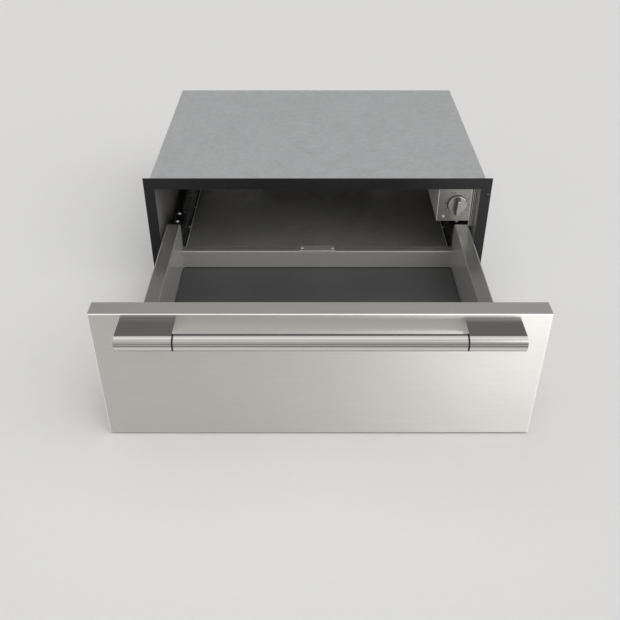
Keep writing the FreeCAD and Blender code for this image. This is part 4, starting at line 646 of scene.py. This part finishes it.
def wing_trim():
    """Ribbed strip that closes the slit between the control box and the cavity's wall."""
    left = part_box("control_fascia")[1][0] + TRIM_GAP
    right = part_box("control_box")[1][0] - TRIM_GAP
    box_points = NODES["control_box"].data.vertices
    rest = min(point.co.y for point in box_points if point.co.x > right - 2 * TRIM_GAP)
    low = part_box("control_box")[0][2] - TRIM_DROP
    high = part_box("control_box")[1][2]
    rib = (right - left) / TRIM_RIBS
    outline = []
    for i in range(TRIM_RIBS):
        start = left + rib * i
        outline += [(start, rest - TRIM_SHEET), (start + TRIM_SLOPE, rest - TRIM_SHEET - TRIM_RISE),
                    (start + rib - TRIM_SLOPE, rest - TRIM_SHEET - TRIM_RISE)]
    outline += [(right, rest - TRIM_SHEET), (right, rest), (left, rest)]
    shape = bmesh.new()
    prism(shape, outline, low, high, lambda u, v, depth: (u, v, depth))
    new_piece("wing_trim", finished_mesh("wing_trim", shape), TRIM_STEEL, "case")


def foot_edge_highlights():
    """Bare sheared edges along the feet of the slide brackets, drawn as pale strips that reach past
    the feet: bare steel with a painted highlight.
    """
    for side, name in ((1, "slide_bracket_left"), (-1, "slide_bracket_right")):
        low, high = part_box(name)
        edge = high[0] - SEAT_REACH if side > 0 else low[0] + SEAT_REACH
        top = low[2] + FOOT_SHEET
        inner = edge - side * EDGE_LAP
        outer = edge + side * EDGE_WIDTH
        outline = [(inner, top), (outer, top), (outer, top + EDGE_RISE), (inner, top + EDGE_RISE)]
        shape = bmesh.new()
        prism(shape, outline, low[1], high[1], lambda u, v, depth: (u, depth, v))
        label = name.replace("slide_bracket", "foot_edge")
        new_piece(label, finished_mesh(label, shape), BARE_EDGE_HIGHLIGHT, "case")


def handle_rings():
    """Black rings over the joints between the bar and its brackets."""
    low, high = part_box("handle_bar")
    radius = (high[1] - low[1]) / 2 + HANDLE_PROUD
    shape = bmesh.new()
    for side, end in ((-1, low[0]), (1, high[0])):
        middle = end + side * HANDLE_JOINT / 2
        outline = circle((low[1] + high[1]) / 2, (low[2] + high[2]) / 2, radius, RING_STEPS)
        prism(shape, outline, middle - HANDLE_RING / 2, middle + HANDLE_RING / 2,
              lambda u, v, depth: (depth, u, v))
    new_piece("handle_rings", finished_mesh("handle_rings", shape), BLACK_PLASTIC, "drawer")


def flange_screws():
    """Black countersunk screws in the flange's holes."""
    low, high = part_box("front_flange")
    middle = (low[2] + high[2]) / 2
    hole = MOUNT["dims"]
    shape = bmesh.new()
    profile = [(0.0, SCREW_TOP), (SCREW_HEAD * SCREW_FLAT, SCREW_TOP),
               (SCREW_HEAD, SCREW_TOP - SCREW_CHAMFER),
               (SCREW_SHANK, SCREW_TOP - SCREW_HEAD + SCREW_SHANK), (SCREW_SHANK, -SCREW_REACH),
               (0.0, -SCREW_REACH - SCREW_SHANK)]
    for side in (-1, 1):
        for rise in (-1, 1):
            x = side * hole["spacing_x_mm"] / 2 / MILLIMETRES
            z = middle + rise * hole["spacing_y_mm"] / 2 / MILLIMETRES
            turned(shape, profile, (x, low[1], z))
    screws = new_piece("flange_screws", finished_mesh("flange_screws", shape), BLACK_PLATE, "case")
    for face in screws.data.polygons:
        face.use_smooth = True


# ---- Studio ----------------------------------------------------------------------------------
def studio_floor():
    """Plain pale floor under the case."""
    made, net = material("floor_paper")
    specks = net.noise(PAPER_SPECKS, detail=3.0)
    tint = net.blend(net.ramp(specks, 0.0, 1.0), PAPER_DARK, PAPER_PALE)
    net.surface(tint, PAPER_ROUGHNESS, specular_ior_level=0.1)
    mesh = bpy.data.meshes.new("studio_floor")
    reach = FLOOR_REACH
    corners = [(-reach, -reach, 0), (reach, -reach, 0), (reach, reach, 0), (-reach, reach, 0)]
    mesh.from_pydata(corners, [], [(0, 1, 2, 3)])
    mesh.materials.append(made)
    floor = bpy.data.objects.new("studio_floor", mesh)
    floor.location.z = -FLOOR_DROP
    bpy.context.scene.collection.objects.link(floor)
    return floor


def studio_world():
    """Pale horizon all round, a darker wall behind the object and a bright ceiling."""
    world = bpy.data.worlds.new("studio")
    world.use_nodes = True
    net = Net(world.node_tree)
    way = net.add("SeparateXYZ", {"Vector": net.add("TexCoord").outputs["Generated"]})
    back = net.levels(way.outputs["Z"], WALL_BEHIND)
    front = net.levels(way.outputs["Z"], WALL_IN_FRONT)
    side = net.add("MapRange", {"Value": way.outputs["Y"], "From Min": -SKY_TURN, "From Max": SKY_TURN})
    level = net.blend(side.outputs["Result"], front, back)
    sky = net.add("Background", {"Color": SKY_TINT, "Strength": level})
    out = net.add("OutputWorld")
    world.node_tree.links.new(sky.outputs["Background"], out.inputs["Surface"])
    bpy.context.scene.world = world


def softbox(name, place, target, width, height, power, shaded):
    """Rectangular soft light aimed at a point, with a flag that keeps it off some objects."""
    lamp = bpy.data.lights.new(name, "AREA")
    lamp.shape = "RECTANGLE"
    lamp.size = width
    lamp.size_y = height
    lamp.energy = power
    made = bpy.data.objects.new(name, lamp)
    made.location = place
    made.rotation_euler = (Vector(target) - Vector(place)).to_track_quat("-Z", "Y").to_euler()
    bpy.context.scene.collection.objects.link(made)
    flag = bpy.data.collections.new(name + "_flag")
    for obj in shaded:
        flag.objects.link(obj)
    for entry in flag.collection_objects:
        entry.light_linking.link_state = "EXCLUDE"
    made.light_linking.receiver_collection = flag
    return made


def studio_lights(floor):
    """Broad soft light from the upper right, and low softboxes for the front and the cavity. The
    softboxes are kept off the floor, which would turn white close to them, and the right one off
    the polished handle, which would mirror it as a streak."""
    key = bpy.data.lights.new("key", "SUN")
    key.energy = KEY_POWER
    key.angle = KEY_SPREAD
    made = bpy.data.objects.new("key", key)
    made.rotation_euler = Vector(KEY_WAY).to_track_quat("-Z", "Y").to_euler()
    bpy.context.scene.collection.objects.link(made)
    handle = [NODES[name] for name in FINISHES[BAR_STEEL]]
    softbox("right_front", shaded=[floor, *handle], **RIGHT_BOX)
    fill = softbox("front_low", shaded=[floor], **LOW_BOX)
    fill.visible_glossy = False


def photo_camera():
    """Camera of the photograph."""
    optics = bpy.data.cameras.new("photo_camera")
    optics.sensor_width = CAMERA_SENSOR
    optics.lens = CAMERA_LENS
    optics.clip_end = CAMERA_REACH
    camera = bpy.data.objects.new("photo_camera", optics)
    camera.location = CAMERA_PLACE
    camera.rotation_euler = (CAMERA_TILT, 0.0, 0.0)
    bpy.context.scene.collection.objects.link(camera)
    bpy.context.scene.camera = camera


# ---- Run -------------------------------------------------------------------------------------
dress_nodes()
dial_print_and_shadow_ring()
wing_trim()
foot_edge_highlights()
handle_rings()
flange_screws()
studio_world()
studio_lights(studio_floor())
photo_camera()
bpy.context.scene.view_settings.view_transform = "Standard"
